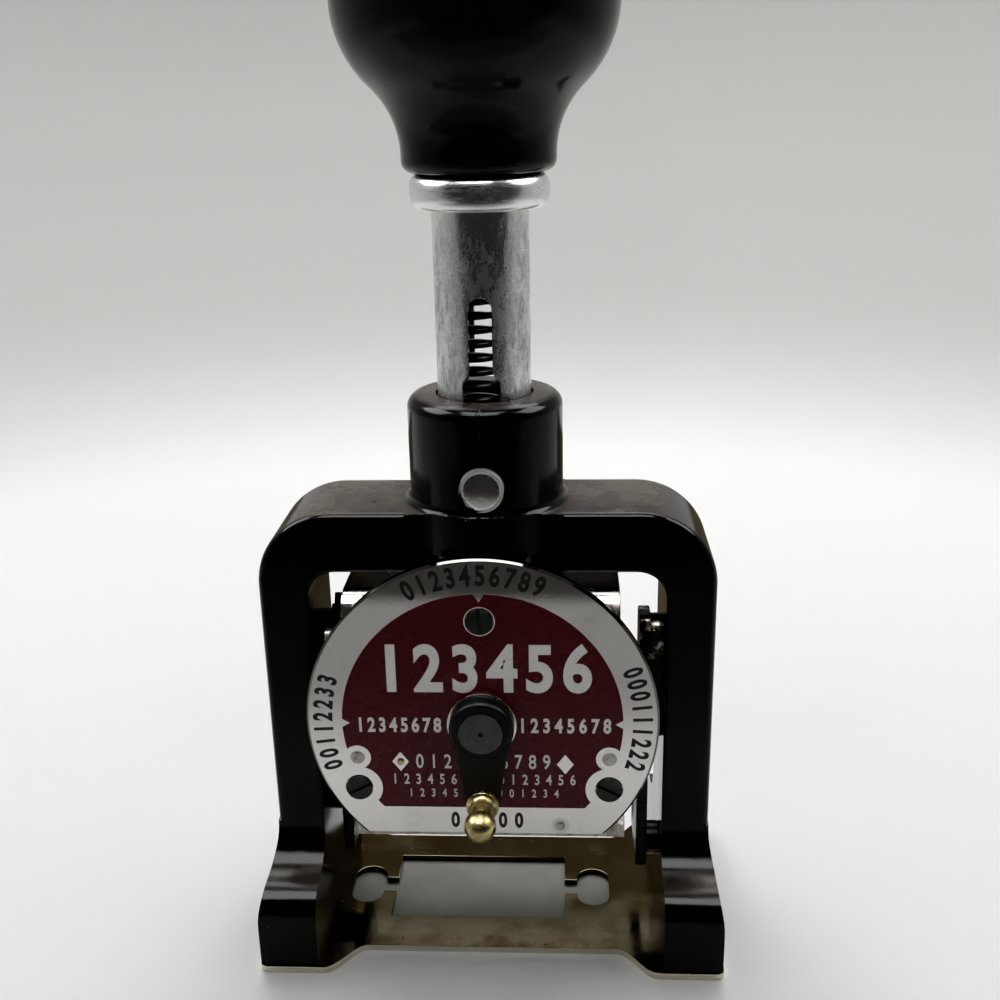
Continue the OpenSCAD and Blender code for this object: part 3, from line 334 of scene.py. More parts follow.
# %% Materials
class Finish:
    """A material round one Principled shader, with its even numbers set on the shader's own sockets"""

    def __init__(self, name, colour, roughness=0.4, metallic=0.0, **even):
        self.material = bpy.data.materials.new(name)
        self.material.use_nodes = True
        self.tree = self.material.node_tree
        self.shader = self.tree.nodes["Principled BSDF"]
        self.set("Base Color", (*colour, 1.0))
        self.set("Roughness", roughness)
        self.set("Metallic", metallic)
        for socket, value in even.items():
            self.set(socket.replace("_", " "), value)
        self.where = self.node("ShaderNodeTexCoord", out="Object")
        self.x, self.y, self.z = (
            self.node("ShaderNodeSeparateXYZ", {}, {0: self.where}, out) for out in "XYZ"
        )

    def node(self, kind, settings={}, values={}, out=0):
        """Adds a node of any kind, and gives back one of its outputs"""
        made = self.tree.nodes.new(kind)
        for key, setting in settings.items():
            setattr(made, key, setting)
        for key, value in values.items():
            self.feed(made.inputs[key], value)
        return Value(self, made.outputs[out])

    def feed(self, socket, value):
        if isinstance(value, Value):
            self.tree.links.new(value.socket, socket)
        else:
            socket.default_value = value

    def set(self, socket, value):
        self.feed(self.shader.inputs[socket], value)

    def cloud(self, size, detail=3.0, rough=0.5, stretch=None):
        """Noise of 0 to 1 with spots of about that many millimetres"""
        place = self.where
        if stretch:
            place = self.node("ShaderNodeMapping", {}, {"Vector": place, "Scale": stretch})
        values = {"Vector": place, "Scale": 1 / (size * MM), "Detail": detail, "Roughness": rough}
        return self.node("ShaderNodeTexNoise", {}, values)

    def specks(self, size, share):
        """Round specks in cells of that many millimetres, each as wide as a share of its cell"""
        values = {"Vector": self.where, "Scale": 1 / (size * MM)}
        return 1 - self.ease(self.node("ShaderNodeTexVoronoi", {}, values), share * 0.5, share)

    def ease(self, value, low, high):
        """A soft step from 0 at low to 1 at high"""
        settings = {"interpolation_type": "SMOOTHSTEP"}
        values = {"Value": value, "From Min": low, "From Max": high}
        return self.node("ShaderNodeMapRange", settings, values)

    def tint(self, mask, a, b):
        """Colour a where the mask is 0 and b where it is 1; either may be a mixed colour"""
        a, b = (c if isinstance(c, Value) else (*c, 1.0) for c in (a, b))
        return self.node("ShaderNodeMix", {"data_type": "RGBA"}, {0: mask, 6: a, 7: b}, 2)

    def colour(self, mask, a, b):
        self.set("Base Color", self.tint(mask, a, b))

    def relief(self, height, depth, strength=1.0):
        """Bumps of that many millimetres from a height of 0 to 1"""
        values = {"Height": height, "Distance": depth * MM, "Strength": strength}
        self.set("Normal", self.node("ShaderNodeBump", {}, values))

    def reach(self, *centre):
        """Distance in millimetres from a point, or from a line where a coordinate is None"""
        total = 0.0
        for axis, middle in zip((self.x, self.y, self.z), centre):
            if middle is not None:
                total = total + (axis / MM - middle) ** 2
        return total ** 0.5

    def normal_z(self):
        """1 where the surface faces straight up, 0 where it stands"""
        normal = self.node("ShaderNodeNewGeometry", out="Normal")
        return self.node("ShaderNodeSeparateXYZ", {}, {0: normal}, "Z")


def tell(*finishes):
    """Prints how many nodes each finish took"""
    for finish in finishes:
        print(finish.material.name + ":", len(finish.tree.nodes), "nodes")


# %% [markdown]
# ## Paper and card
# Studio paper is matt and never quite even, so it gets a faint fibre and a slow change of tone.
# It is painted greyer where it stands, most of all on the operator's side, as painted shade, so the
# wall is quieter than the floor. Under the print window a grey patch is painted in as the shadow there.
# Its back is see-through, for views from below, which takes a second shader and a mix. The cards are
# matt, and the one on the table is a painted shadow that fades in away from the machine, so that no edge
# of it is mirrored.

# %% Paper
paper = Finish("white_paper", (0.8, 0.8, 0.79), roughness=0.75, Specular_IOR_Level=0.25)
white = paper.tint(paper.cloud(180, 2), (0.82, 0.82, 0.815), (0.86, 0.86, 0.855))
# where the paper stands it is painted greyer, most of all on the operator's side, as painted shade
standing_shade = paper.ease(paper.reach(0, 0, None), floor_r - 5, floor_r + 160)
operator_side_shade = paper.ease(-1 * paper.y / MM, -250, 300)
grey = paper.tint(operator_side_shade, (0.52, 0.52, 0.51), (0.24, 0.24, 0.235))
# a grey patch painted under the print window stands in for the shadow under the machine
window_shadow_mask = 1 - paper.ease(abs(paper.x / MM), 26, 36).most(paper.ease(abs(paper.y / MM - 1), 11, 17))
painted_shadow_grey = paper.tint(paper.cloud(14, 4), (0.30, 0.30, 0.28), (0.15, 0.15, 0.135))
paper_with_painted_shadow = paper.tint(window_shadow_mask, white, painted_shadow_grey)
paper.colour(standing_shade, paper_with_painted_shadow, grey)
paper.relief(paper.cloud(0.6, 2), 0.01)
front = Value(paper, paper.shader.outputs[0])
through = paper.node("ShaderNodeBsdfTransparent")
from_behind = paper.node("ShaderNodeNewGeometry", out="Backfacing")
both = paper.node("ShaderNodeMixShader", {}, {0: from_behind, 1: front, 2: through})
paper.feed(paper.tree.nodes["Material Output"].inputs["Surface"], both)
sweep.data.materials.append(paper.material)
tell(paper)

# %% Cards and glowing panels
cards = {
    "table_shadow_flag": (0.09, 0.085, 0.08),
    "camera_flag": (0.045, 0.045, 0.044),
    "tan_flag": (0.34, 0.29, 0.19),
}
for name, shade in cards.items():
    board = Finish(name + "_card", shade, roughness=0.95, Specular_IOR_Level=0.0)
    board.colour(board.cloud(40, 3), shade, [0.7 * c for c in shade])
    if name == "table_shadow_flag":
        distance = -1 * board.y / MM
        # the fade is the soft edge of the painted shadow
        board.set("Alpha", 0.6 * board.ease(distance, 62, 108) + 0.4 * board.ease(distance, 153, 165))
    flags[name].data.materials.append(board.material)
    tell(board)
for name, (_, _, glow) in panels.items():
    lit = Finish(name + "_glow", (0.8, 0.8, 0.8), roughness=0.9, Emission_Strength=glow)
    lit.set("Emission Color", lit.tint(lit.cloud(120, 2), (1.0, 1.0, 1.0), (0.9, 0.9, 0.9)))
    lit.material.cycles.emission_sampling = "NONE"
    flags[name].data.materials.append(lit.material)
    tell(lit)

# %% [markdown]
# ## Stoved enamel
# The casting is dipped in japan, a black enamel that is baked on. It is glossy and very slightly
# rippled, and holds dust on its level faces, where a brown-grey is also painted in as the sheen those
# faces mirror. A single black would look like plastic, so gloss, dust with its painted sheen, and ripple
# are three masks at three scales. The two halves of the mould leave a fine seam down the boss, and the
# right cam plate is rubbed bare round its upper lug.

# %% Enamel
def japan(name, gloss=0.11):
    """Black enamel with a film of dust and painted sheen, and a few motes, on its level faces"""
    coat = Finish(name, (0.004, 0.004, 0.0045), roughness=gloss, Specular_IOR_Level=0.19)
    level = coat.ease(coat.normal_z(), 0.8, 0.985)
    # level faces get dust and, in the same mask, a painted brown-grey sheen
    dust_and_sheen = (0.35 + 0.65 * coat.ease(coat.cloud(9, 4, 0.6), 0.3, 0.75)) * level
    motes = coat.specks(2.3, 0.075) * coat.ease(coat.cloud(5, 2), 0.5, 0.62)
    dust_and_sheen_colour = coat.tint(dust_and_sheen, (0.004, 0.004, 0.0045), (0.115, 0.10, 0.085))
    coat.colour(motes * 0.8, dust_and_sheen_colour, (0.16, 0.16, 0.15))
    coat.set("Roughness", gloss + 0.08 * coat.cloud(14, 3) + 0.16 * dust_and_sheen + 0.3 * motes)
    return coat


enamel = japan("stoved_enamel")
seam = 1 - enamel.ease(abs(enamel.x / MM + 0.3), 0.12, 0.34)
seam = seam * enamel.ease(-1 * enamel.y / MM, 9.5, 11.0) * enamel.ease(enamel.z / MM, 84.0, 86.0)
enamel.relief(enamel.cloud(1.6, 2) * 0.35 - seam, 0.09, 0.7)
plate_black = japan("plate_black", gloss=0.22)
rubbed = plate_black.ease(plate_black.cloud(2.6, 4, 0.6), 0.52, 0.62)
near_lugs = 1 - plate_black.ease(plate_black.reach(25, -3.5, 54), 3.5, 7.5)
bare = (rubbed * near_lugs).clamped()
plate_black.colour(bare, (0.006, 0.006, 0.006), (0.42, 0.39, 0.33))
plate_black.set("Metallic", bare)
plate_black.set("Roughness", 0.2 + 0.15 * plate_black.cloud(1.2, 3))
plate_black.relief(plate_black.cloud(0.8, 3), 0.03)
tell(enamel, plate_black)

# %% [markdown]
# ## The knob's black
# The knob is turned and polished, and years of palms leave it glossy with a faint haze of hairlines.
# The hairlines run round it, so the noise is stretched along the turning instead of being even.

# %% Knob finish
palm_black = Finish("palm_black", (0.005, 0.005, 0.0055), roughness=0.14, Specular_IOR_Level=0.2)
haze = palm_black.ease(palm_black.cloud(16, 4, 0.6), 0.35, 0.75)
hairs = palm_black.ease(palm_black.cloud(2.2, 4, 0.7, (1, 1, 14)), 0.62, 0.72)
palm_black.set("Roughness", 0.12 + 0.13 * haze + 0.1 * hairs)
palm_black.colour(haze, (0.006, 0.006, 0.0065), (0.011, 0.0105, 0.010))
palm_black.relief(palm_black.cloud(3.5, 2) * 0.5 + hairs * 0.12, 0.03, 0.5)
tell(palm_black)

# %% [markdown]
# ## Nickel and steel
# Nickel plate is a warm mirror. What tells one piece from another is how it was worked and worn. The
# tube is frosted and pitted low down, where it rubs in the boss, and cleaner along its middle and near
# the knob. The ferrule is spun, the dial is polished nearly to a mirror, and the base plate is polished
# but stained brown. One nickel for all would make them look like one casting, so each has its own.

# %% Plunger nickel
tube_nickel = Finish("plunger_nickel", (0.6, 0.6, 0.58), roughness=0.2, metallic=1.0)
off_track = tube_nickel.ease(abs(tube_nickel.x / MM - 0.9), 1.8, 4.2)
low = 1 - tube_nickel.ease(tube_nickel.z / MM, 113, 124)
pits = tube_nickel.ease(tube_nickel.cloud(0.24, 4, 0.7, (1, 1, 0.8)), 0.45, 0.62)
blotch = tube_nickel.ease(tube_nickel.cloud(1.5, 5, 0.75, (1, 1, 0.35)), 0.38, 0.64)
frost = ((0.72 + 0.28 * off_track) * (0.12 + 0.88 * low) * (0.3 + 0.7 * blotch)).clamped()
# short scratches across the tube's right edge
ticks = tube_nickel.ease(tube_nickel.cloud(1.1, 3, 0.6, (0.2, 0.2, 3.2)), 0.64, 0.68)
ticks = ticks * tube_nickel.ease(tube_nickel.x / MM, 4.6, 5.4)
grey = tube_nickel.tint(frost, (0.84, 0.84, 0.82), (0.36, 0.38, 0.38))
tube_nickel.colour(pits * frost * 0.5, grey, (0.15, 0.16, 0.165))
tube_nickel.set("Roughness", 0.12 + 0.3 * frost + 0.12 * pits * frost + 0.15 * ticks)
tube_nickel.relief(pits * frost + ticks * 0.6, 0.02, 0.6)
tell(tube_nickel)

# %% Ferrule and dial
spun_metal = Finish("spun_ferrule", (0.78, 0.78, 0.78), roughness=0.3, metallic=1.0)
rings = spun_metal.cloud(0.9, 3, 0.7, (0.12, 0.12, 3.0))
spun_metal.set("Roughness", 0.14 + 0.12 * rings + 0.1 * spun_metal.cloud(4, 3))
spun_metal.colour(spun_metal.cloud(3, 4), (0.80, 0.80, 0.80), (0.66, 0.66, 0.66))
spun_metal.relief(rings, 0.012, 0.6)
dial_nickel = Finish("dial_nickel", (0.6, 0.59, 0.57), roughness=0.12, metallic=1.0)
soil = dial_nickel.ease(dial_nickel.cloud(7, 5, 0.65), 0.52, 0.8)
scuffs = dial_nickel.ease(dial_nickel.cloud(1.1, 5, 0.75, (0.35, 1, 1)), 0.6, 0.72)
# brown bleeds out round the ring's rivet
rivet_stain = 1 - dial_nickel.ease(dial_nickel.reach(11.6, None, 23.8), 0.9, 1.8)
# a dark band painted round the ring's rim stands in for the shade and dark reflection at its edge
rim_shade = dial_nickel.ease(dial_nickel.reach(dial_x, None, dial_z), dial_r - 0.43, dial_r - 0.29)
soil = (soil * 0.5 + rivet_stain * 0.8).clamped()
silver = dial_nickel.tint(soil, (0.68, 0.67, 0.65), (0.44, 0.42, 0.38))
dial_nickel.colour(rim_shade * 0.9, silver, (0.05, 0.047, 0.042))
dial_nickel.set("Roughness", 0.03 + 0.04 * dial_nickel.cloud(5, 3) + 0.1 * scuffs + 0.06 * soil)
dial_nickel.relief(dial_nickel.cloud(0.5, 3) * 0.4 + scuffs * 0.4, 0.005, 0.6)
tell(spun_metal, dial_nickel)

# %% Lock button
pin_steel = Finish("polished_pin", (0.66, 0.65, 0.63), roughness=0.1, metallic=1.0)
from_middle = pin_steel.reach(0, None, button_z)
turning = (from_middle * 34.0).wave()
worn_edge = pin_steel.ease(from_middle, dome_r - 0.01, dome_r + 0.03)
pin_steel.set("Roughness", 0.1 + 0.08 * pin_steel.cloud(0.8, 3) + 0.25 * worn_edge)
pin_steel.colour(pin_steel.cloud(1.4, 4), (0.86, 0.85, 0.82), (0.74, 0.73, 0.69))
pin_steel.relief(turning, 0.004, 0.4)
tell(pin_steel)

# %% Base plate and carriage
plate_nickel = Finish("plate_nickel", (0.4, 0.37, 0.29), roughness=0.12, metallic=1.0)
stain = plate_nickel.ease(plate_nickel.cloud(8, 5, 0.62), 0.42, 0.72)
spots = plate_nickel.specks(1.7, 0.16) * plate_nickel.ease(plate_nickel.cloud(6, 3), 0.45, 0.6)
tarnish = (stain * 0.75 + spots).clamped()
level = plate_nickel.ease(plate_nickel.normal_z(), 0.5, 0.95)
# the edges round the print window are painted dark, standing in for the shade that they mirror, and the
# outer ones are bare
window_edge_shade = 1 - plate_nickel.ease(abs(plate_nickel.y / MM - 0.7), 9.0, 10.5)
edge = plate_nickel.tint(window_edge_shade, (0.62, 0.59, 0.50), (0.05, 0.045, 0.035))
flat = plate_nickel.tint(tarnish, (0.27, 0.24, 0.175), (0.15, 0.125, 0.075))
plate_nickel.colour(level, edge, flat)
plate_nickel.set("Roughness", 0.07 + 0.12 * stain + 0.2 * spots + 0.05 * plate_nickel.cloud(1.5, 3))
plate_nickel.relief(plate_nickel.cloud(2.4, 3), 0.02, 0.4)
carriage_nickel = Finish("carriage_nickel", (0.7, 0.69, 0.66), roughness=0.15, metallic=1.0)
dull = carriage_nickel.ease(carriage_nickel.cloud(5, 5, 0.65), 0.45, 0.75)
lines = carriage_nickel.cloud(0.7, 4, 0.7, (0.2, 1, 1))
carriage_nickel.colour(dull, (0.74, 0.73, 0.70), (0.45, 0.42, 0.36))
carriage_nickel.set("Roughness", 0.1 + 0.2 * dull + 0.1 * lines)
carriage_nickel.relief(lines, 0.012, 0.5)
tell(plate_nickel, carriage_nickel)

# %% [markdown]
# ## Turned steel, black oxide and springs
# The screws, pins and pawls are plain steel, oiled and dark in patches. The dial's screws and the
# springs are blued black. Their wear is small, so the noise is small too. They differ only in colour,
# gloss and grain, so one function makes them. The selector's shaft is faced on a lathe: fine rings round
# a centre mark, whose hollow is painted in black as its shade.

# %% Steels
def worked_steel(name, bright, dark, gloss, grain=(1, 1, 1), grey=1.0):
    """Steel with soot in patches and the marks of the tool, stretched along the grain"""
    steel = Finish(name, bright, roughness=gloss, metallic=grey)
    soot = steel.ease(steel.cloud(1.8, 5, 0.65), 0.42, 0.7)
    cut = steel.cloud(0.4, 3, 0.7, grain)
    steel.colour(soot, bright, dark)
    steel.set("Roughness", gloss + 0.18 * soot + 0.12 * cut)
    steel.relief(cut, 0.01, 0.6)
    return steel


bright_steel = worked_steel("bright_steel", (0.58, 0.57, 0.55), (0.30, 0.26, 0.20), 0.2, (0.3, 1, 1))
screw_steel = worked_steel("screw_steel", (0.50, 0.50, 0.49), (0.24, 0.21, 0.17), 0.28)
black_oxide = worked_steel("black_oxide", (0.020, 0.024, 0.022), (0.045, 0.045, 0.038), 0.3, grey=0.4)
spring_black = worked_steel("spring_black", (0.035, 0.035, 0.037), (0.09, 0.08, 0.07), 0.28, grey=0.8)
pivot_steel = Finish("turned_pivot", (0.075, 0.077, 0.078), roughness=0.34, metallic=0.85)
from_centre = pivot_steel.reach(dial_x, None, dial_z)
pivot_steel.relief((from_centre * 21.0).wave() * 0.5 + pivot_steel.cloud(0.3, 3), 0.008, 0.6)
face = pivot_steel.tint(pivot_steel.cloud(1.2, 4), (0.12, 0.12, 0.115), (0.06, 0.06, 0.057))
# the centre mark's hollow is a painted black dot of shade
centre_mark_shade = 1 - pivot_steel.ease(from_centre, 0.25, 0.5)
pivot_steel.colour(centre_mark_shade, face, (0.002, 0.002, 0.002))
pivot_steel.set("Roughness", 0.3 + 0.12 * pivot_steel.cloud(0.9, 3))
tell(bright_steel, screw_steel, black_oxide, spring_black, pivot_steel)

# %% [markdown]
# ## Paint, brass and type
# The selector's arm is painted, with a few small chips. Its brass knob was turned bright and has gone
# brown in the hollows. The dial's middle is a wine-red vitreous enamel let into the nickel, cloudy and
# with a little grit. The wheels are grey with dried ink, blacker low in the figures than on their faces,
# which a distance from the axle tells apart. The pad's felt is soaked with violet-black ink.

# %% Paint and brass
arm_black = Finish("arm_black", (0.010, 0.010, 0.010), roughness=0.38, Specular_IOR_Level=0.25)
chips = arm_black.ease(arm_black.cloud(1.3, 5, 0.7), 0.66, 0.72)
arm_black.colour(chips, (0.010, 0.010, 0.0105), (0.07, 0.055, 0.04))
arm_black.set("Roughness", 0.3 + 0.18 * arm_black.cloud(2.2, 4))
arm_black.relief(arm_black.cloud(0.6, 3) - chips, 0.02, 0.6)
old_brass = Finish("old_brass", (0.55, 0.40, 0.16), roughness=0.3, metallic=1.0)
brown = old_brass.ease(old_brass.cloud(1.7, 5, 0.65), 0.38, 0.68)
waist_y = -19.6
hollow = 1 - old_brass.ease(abs(old_brass.y / MM - waist_y), 0.3, 1.5)
worn = (brown * 0.7 + hollow * 0.6).clamped()
tool_lines = old_brass.cloud(0.5, 2, 0.6, (0.15, 4.0, 0.15))
old_brass.colour(worn, (0.50, 0.42, 0.22), (0.20, 0.155, 0.07))
old_brass.set("Roughness", 0.2 + 0.2 * worn + 0.1 * tool_lines)
old_brass.relief(tool_lines, 0.015, 0.5)
tell(arm_black, old_brass)

# %% Dial enamel
wine_enamel = Finish("wine_enamel", (0.045, 0.003, 0.006), roughness=0.22, Specular_IOR_Level=0.32)
cloudy = wine_enamel.cloud(11, 4, 0.6)
grit = wine_enamel.specks(1.9, 0.07) * wine_enamel.ease(wine_enamel.cloud(4, 2), 0.52, 0.62)
wine = wine_enamel.tint(cloudy, (0.058, 0.0034, 0.0066), (0.084, 0.0060, 0.0108))
wine_enamel.colour(grit * 0.6, wine, (0.25, 0.2, 0.18))
wine_enamel.set("Roughness", 0.2 + 0.14 * wine_enamel.cloud(3, 4))
wine_enamel.relief(wine_enamel.cloud(1.3, 3), 0.012, 0.4)
tell(wine_enamel)

# %% Type, figures and felt
type_grey = Finish("inked_type", (0.16, 0.15, 0.14), roughness=0.4, metallic=0.8)
on_face = type_grey.ease(type_grey.reach(None, 0, axle_z), type_r - 0.4, type_r - 0.05)
clean = on_face * type_grey.ease(type_grey.cloud(1.4, 4), 0.35, 0.6)
type_grey.colour(clean, (0.035, 0.032, 0.035), (0.26, 0.25, 0.23))
type_grey.set("Roughness", 0.3 + 0.25 * type_grey.cloud(0.8, 4))
type_grey.relief(type_grey.cloud(0.35, 3), 0.02, 0.7)
figure_black = Finish("figure_black", (0.012, 0.010, 0.010), roughness=0.35)
thin_print = figure_black.ease(figure_black.cloud(0.35, 4, 0.7), 0.6, 0.8)
figure_black.colour(thin_print, (0.010, 0.009, 0.009), (0.08, 0.07, 0.065))
figure_black.set("Roughness", 0.3 + 0.2 * figure_black.cloud(1.0, 3))
figure_white = Finish("figure_white", (0.62, 0.61, 0.59), roughness=0.4, metallic=0.15)
rubbed_print = figure_white.ease(figure_white.cloud(0.6, 4, 0.7), 0.55, 0.8)
figure_white.colour(rubbed_print, (0.66, 0.655, 0.635), (0.45, 0.43, 0.41))
figure_white.set("Roughness", 0.35 + 0.15 * figure_white.cloud(1.2, 3))
ink_felt = Finish("inked_felt", (0.012, 0.008, 0.03), roughness=0.95, Sheen_Weight=0.4)
fibre = ink_felt.cloud(0.22, 5, 0.75)
ink_felt.colour(ink_felt.cloud(3, 4), (0.008, 0.006, 0.022), (0.03, 0.022, 0.05))
ink_felt.set("Roughness", 0.8 + 0.15 * fibre)
ink_felt.relief(fibre, 0.12, 0.9)
tell(type_grey, figure_black, figure_white, ink_felt)

# %% [markdown]
# ## Rounding what CAD left sharp
# No made edge is a knife edge, and a thin line of light along each one is what makes metal look solid.
# A CAD node is loose triangles and stays as it is, so each piece is a merged copy of its node. Flat
# faces are dissolved back to one face, so that the bevel follows true edges, and weighted normals keep
# the flats flat beside the rounding. A bevel that is clamped is held to what the piece's shortest edge
# allows, all the way round, and a tiny edge in a hole then leaves the whole piece sharp. These widths
# are small enough to go without.

# %% Edge rounding
def copy_of(node, name):
    """A merged copy of a CAD node, with its flat faces dissolved"""
    mesh = frame["nodes"][node].data.copy()
    piece = bpy.data.objects.new(name, mesh)
    mesh.name = name
    bpy.context.collection.objects.link(piece)
    only(piece)
    bpy.ops.object.mode_set(mode="EDIT")
    bpy.ops.mesh.select_all(action="SELECT")
    bpy.ops.mesh.customdata_custom_splitnormals_clear()
    bpy.ops.mesh.remove_doubles(threshold=2e-6)
    bpy.ops.mesh.dissolve_limited(angle_limit=math.radians(0.6))
    bpy.ops.object.mode_set(mode="OBJECT")
    return piece


def rounded(piece, width, segments=2, clamped=False):
    """Bevels a piece's sharp edges by a width in millimetres"""
    sharp = math.radians(38)
    apply_modifier(
        piece, "BEVEL", width=width * MM, segments=segments, limit_method="ANGLE",
        angle_limit=sharp, use_clamp_overlap=clamped, miter_outer="MITER_ARC",
    )
    only(piece)
    bpy.ops.object.shade_smooth_by_angle(angle=sharp)
    apply_modifier(piece, "WEIGHTED_NORMAL", keep_sharp=True, weight=50)
    return piece


def dress(piece, finish, body):
    """The piece takes a finish, and moves with a body"""
    piece.data.materials.clear()
    piece.data.materials.append(finish.material)
    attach(piece, body)
    return piece


def settle(piece, node, finish):
    """The piece stands for a CAD node, in its place and on its body"""
    dress(piece, finish, body_of[node])
    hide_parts(node)
    return piece


# %% Plain pieces
# each piece's bevel, in millimetres, and its finish
plain = {
    "base_plate": (0.08, plate_nickel), "base_screws": (0.06, screw_steel),
    "cam_plate_left": (0.2, plate_black), "cam_plate_right": (0.2, plate_black),
    "cam_screws": (0.06, screw_steel), "spring_seat": (0.1, bright_steel),
    "lock_pin": (0.1, pin_steel), "ferrule_ring": (0.12, spun_metal),
    "plunger_tube": (0.12, tube_nickel), "tube_plug": (0.1, bright_steel),
    "tube_nut": (0.25, screw_steel), "yoke": (0.22, carriage_nickel),
    "wheel_axle": (0.12, bright_steel), "wheel_spacer": (0.1, bright_steel),
    "detent_comb": (0.05, bright_steel), "detent_rod": (0.08, bright_steel),
    "dial_plate": (0.05, dial_nickel), "dial_screws": (0.1, black_oxide),
    "dial_dowels": (0.08, screw_steel), "selector_spring": (0.05, spring_black),
    "spring_stud": (0.12, bright_steel), "feed_arm_left": (0.12, carriage_nickel),
    "feed_arm_right": (0.12, carriage_nickel), "feed_rod": (0.08, bright_steel),
    "feed_pin": (0.08, bright_steel), "feed_pawl": (0.05, bright_steel),
    "selector_washer": (0.06, carriage_nickel), "selector_lever": (0.3, arm_black),
    "selector_shaft": (0.1, pivot_steel), "selector_knob": (0.05, old_brass),
    "selector_disc": (0.06, bright_steel), "pad_carrier": (0.1, bright_steel),
    "pad_pin": (0.08, bright_steel),
}
faces = 0
for node, (width, finish) in plain.items():
    piece = settle(rounded(copy_of(node, node + "_finished"), width), node, finish)
    faces += len(piece.data.polygons)
print(len(plain), "pieces rounded,", faces, "faces")

# %% [markdown]
# ## The lock button
# The button's face was turned slightly domed and polished by thumbs, so it mirrors the table in its
# lower half and the dark room in its upper half. The CAD solid has a shallow dish there, which is one
# patch of points: they are moved out onto the dome.

# %% Button dome
button = bpy.data.objects["lock_pin_finished"]
crown, moved = 0.2, 0
for vertex in button.data.vertices:
    x, y, z = vertex.co / MM
    reach = math.hypot(x, z - button_z)
    if y < button_face + 0.6 and reach < dome_r + 0.02:
        vertex.co.y = (button_face - crown * (1 - (reach / dome_r) ** 2)) * MM
        moved += 1
only(button)
bpy.ops.object.shade_smooth_by_angle(angle=math.radians(30))
print("button:", moved, "of", len(button.data.vertices), "points moved")

# %% [markdown]
# ## The casting
# Iron is cast with round edges, and the enamel pools on them, so they are rounder than any machined
# piece's: most of all the arch's outer edges, and less so those round its opening. No single bevel has
# two widths, so each group of edges is selected by its place and bevelled in edit mode. Both groups stop
# beside the boss: the casting is first cut across there, which gives the bevels a clean end. What is left
# gets the small bevel that every piece has, clamped this time, because the boss's foot is full of short
# edges that a free bevel would fold over.

# %% Casting
def edges_where(piece, test):
    """Opens the piece in edit mode with its sharp edges selected whose two ends pass the test"""
    only(piece)
    bpy.ops.object.mode_set(mode="EDIT")
    bpy.ops.mesh.select_mode(type="EDGE")
    bpy.ops.mesh.select_all(action="DESELECT")
    bpy.ops.mesh.edges_select_sharp(sharpness=math.radians(35))
    bpy.ops.object.mode_set(mode="OBJECT")
    verts = piece.data.vertices
    for edge in piece.data.edges:
        a, b = (verts[v].co / MM for v in edge.vertices)
        if edge.select and not (test(a) and test(b)):
            edge.select = False
    kept = {v for edge in piece.data.edges if edge.select for v in edge.vertices}
    for vertex in verts:
        vertex.select = vertex.index in kept
    for face in piece.data.polygons:
        face.select = False
    bpy.ops.object.mode_set(mode="EDIT")


# just inside the arch's faces, above the feet, beside the boss, and within the legs' and the arch's walls
face_y, feet_z, boss_x, leg_x, arch_z = 9.1, 20.6, 12.5, 30, 66


def outer_edge(p):
    outside = abs(p.x) > leg_x or (p.z > arch_z and abs(p.x) > boss_x)
    return abs(p.y) > face_y and p.z > feet_z and outside


def inner_edge(p):
    return abs(p.y) > face_y and feet_z < p.z < arch_z and boss_x < abs(p.x) < leg_x


casting = copy_of("frame_casting", "casting_enamelled")
bpy.ops.object.mode_set(mode="EDIT")
for side in (-1, 1):
    bpy.ops.mesh.select_all(action="SELECT")
    bpy.ops.mesh.bisect(plane_co=(side * (boss_x + 0.1) * MM, 0, 0), plane_no=(1, 0, 0))
bpy.ops.object.mode_set(mode="OBJECT")
for test, width, segments in ((outer_edge, 1.2, 4), (inner_edge, 0.7, 3)):
    edges_where(casting, test)
    bpy.ops.mesh.bevel(offset=width * MM, segments=segments, clamp_overlap=False)
    bpy.ops.object.mode_set(mode="OBJECT")
    print(test.__name__, "bevelled, now", len(casting.data.polygons), "faces")
settle(rounded(casting, 0.25, clamped=True), "frame_casting", enamel)

# %% [markdown]
# ## The palm knob
# The knob is turned from one piece: a rounded lip, a straight neck, a cove that runs into the ball, and
# a flatter crown. Circles that touch make its profile, so nowhere does it kink. It could be bevelled
# from the CAD node, but its highlights would show the facets, so it is turned afresh with fine rings.

# %% Knob
def knob_rings(neck=11.4, lip=1.8, cove=13.0, wide=20.5, foot=125.5, neck_h=2.5, rise=21.0, crown=18.7):
    """Rings of (radius, height) from the knob's underside to its top"""
    neck_z, wide_z = foot + neck_h, foot + neck_h + rise
    span = (rise**2 + (wide - neck) ** 2) / (2 * (wide - neck))
    ball = span - cove
    cove_at = Vector((neck + cove, neck_z))
    ball_at = Vector((wide - ball, wide_z))
    top = (ball_at.x**2 + crown**2 - ball**2) / (2 * (crown - ball))
    top_at = Vector((0, wide_z + crown - top))

    def arc(centre, radius, start, end, steps):
        angles = [start + (end - start) * i / steps for i in range(steps + 1)]
        return [(centre[0] + radius * math.cos(a), centre[1] + radius * math.sin(a)) for a in angles]

    lean = math.atan2(cove_at.y - ball_at.y, cove_at.x - ball_at.x)
    tilt = math.atan2(ball_at.y - top_at.y, ball_at.x - top_at.x)
    rings = [(7.3, foot)]
    rings += arc((neck - lip, foot + lip), lip, -math.pi / 2, 0, 6)
    rings += arc(cove_at, cove, math.pi, math.pi + lean, 16)
    rings += arc(ball_at, ball, lean, tilt, 28)[1:]
    rings += arc(top_at, top, tilt, math.pi / 2 - 0.02, 12)[1:]
    return rings


knob = outward(turned("palm_knob", knob_rings(), sides=128))
bpy.ops.object.shade_smooth_by_angle(angle=math.radians(50))
settle(knob, "knob", palm_black)
print("knob:", len(knob.data.polygons), "faces")
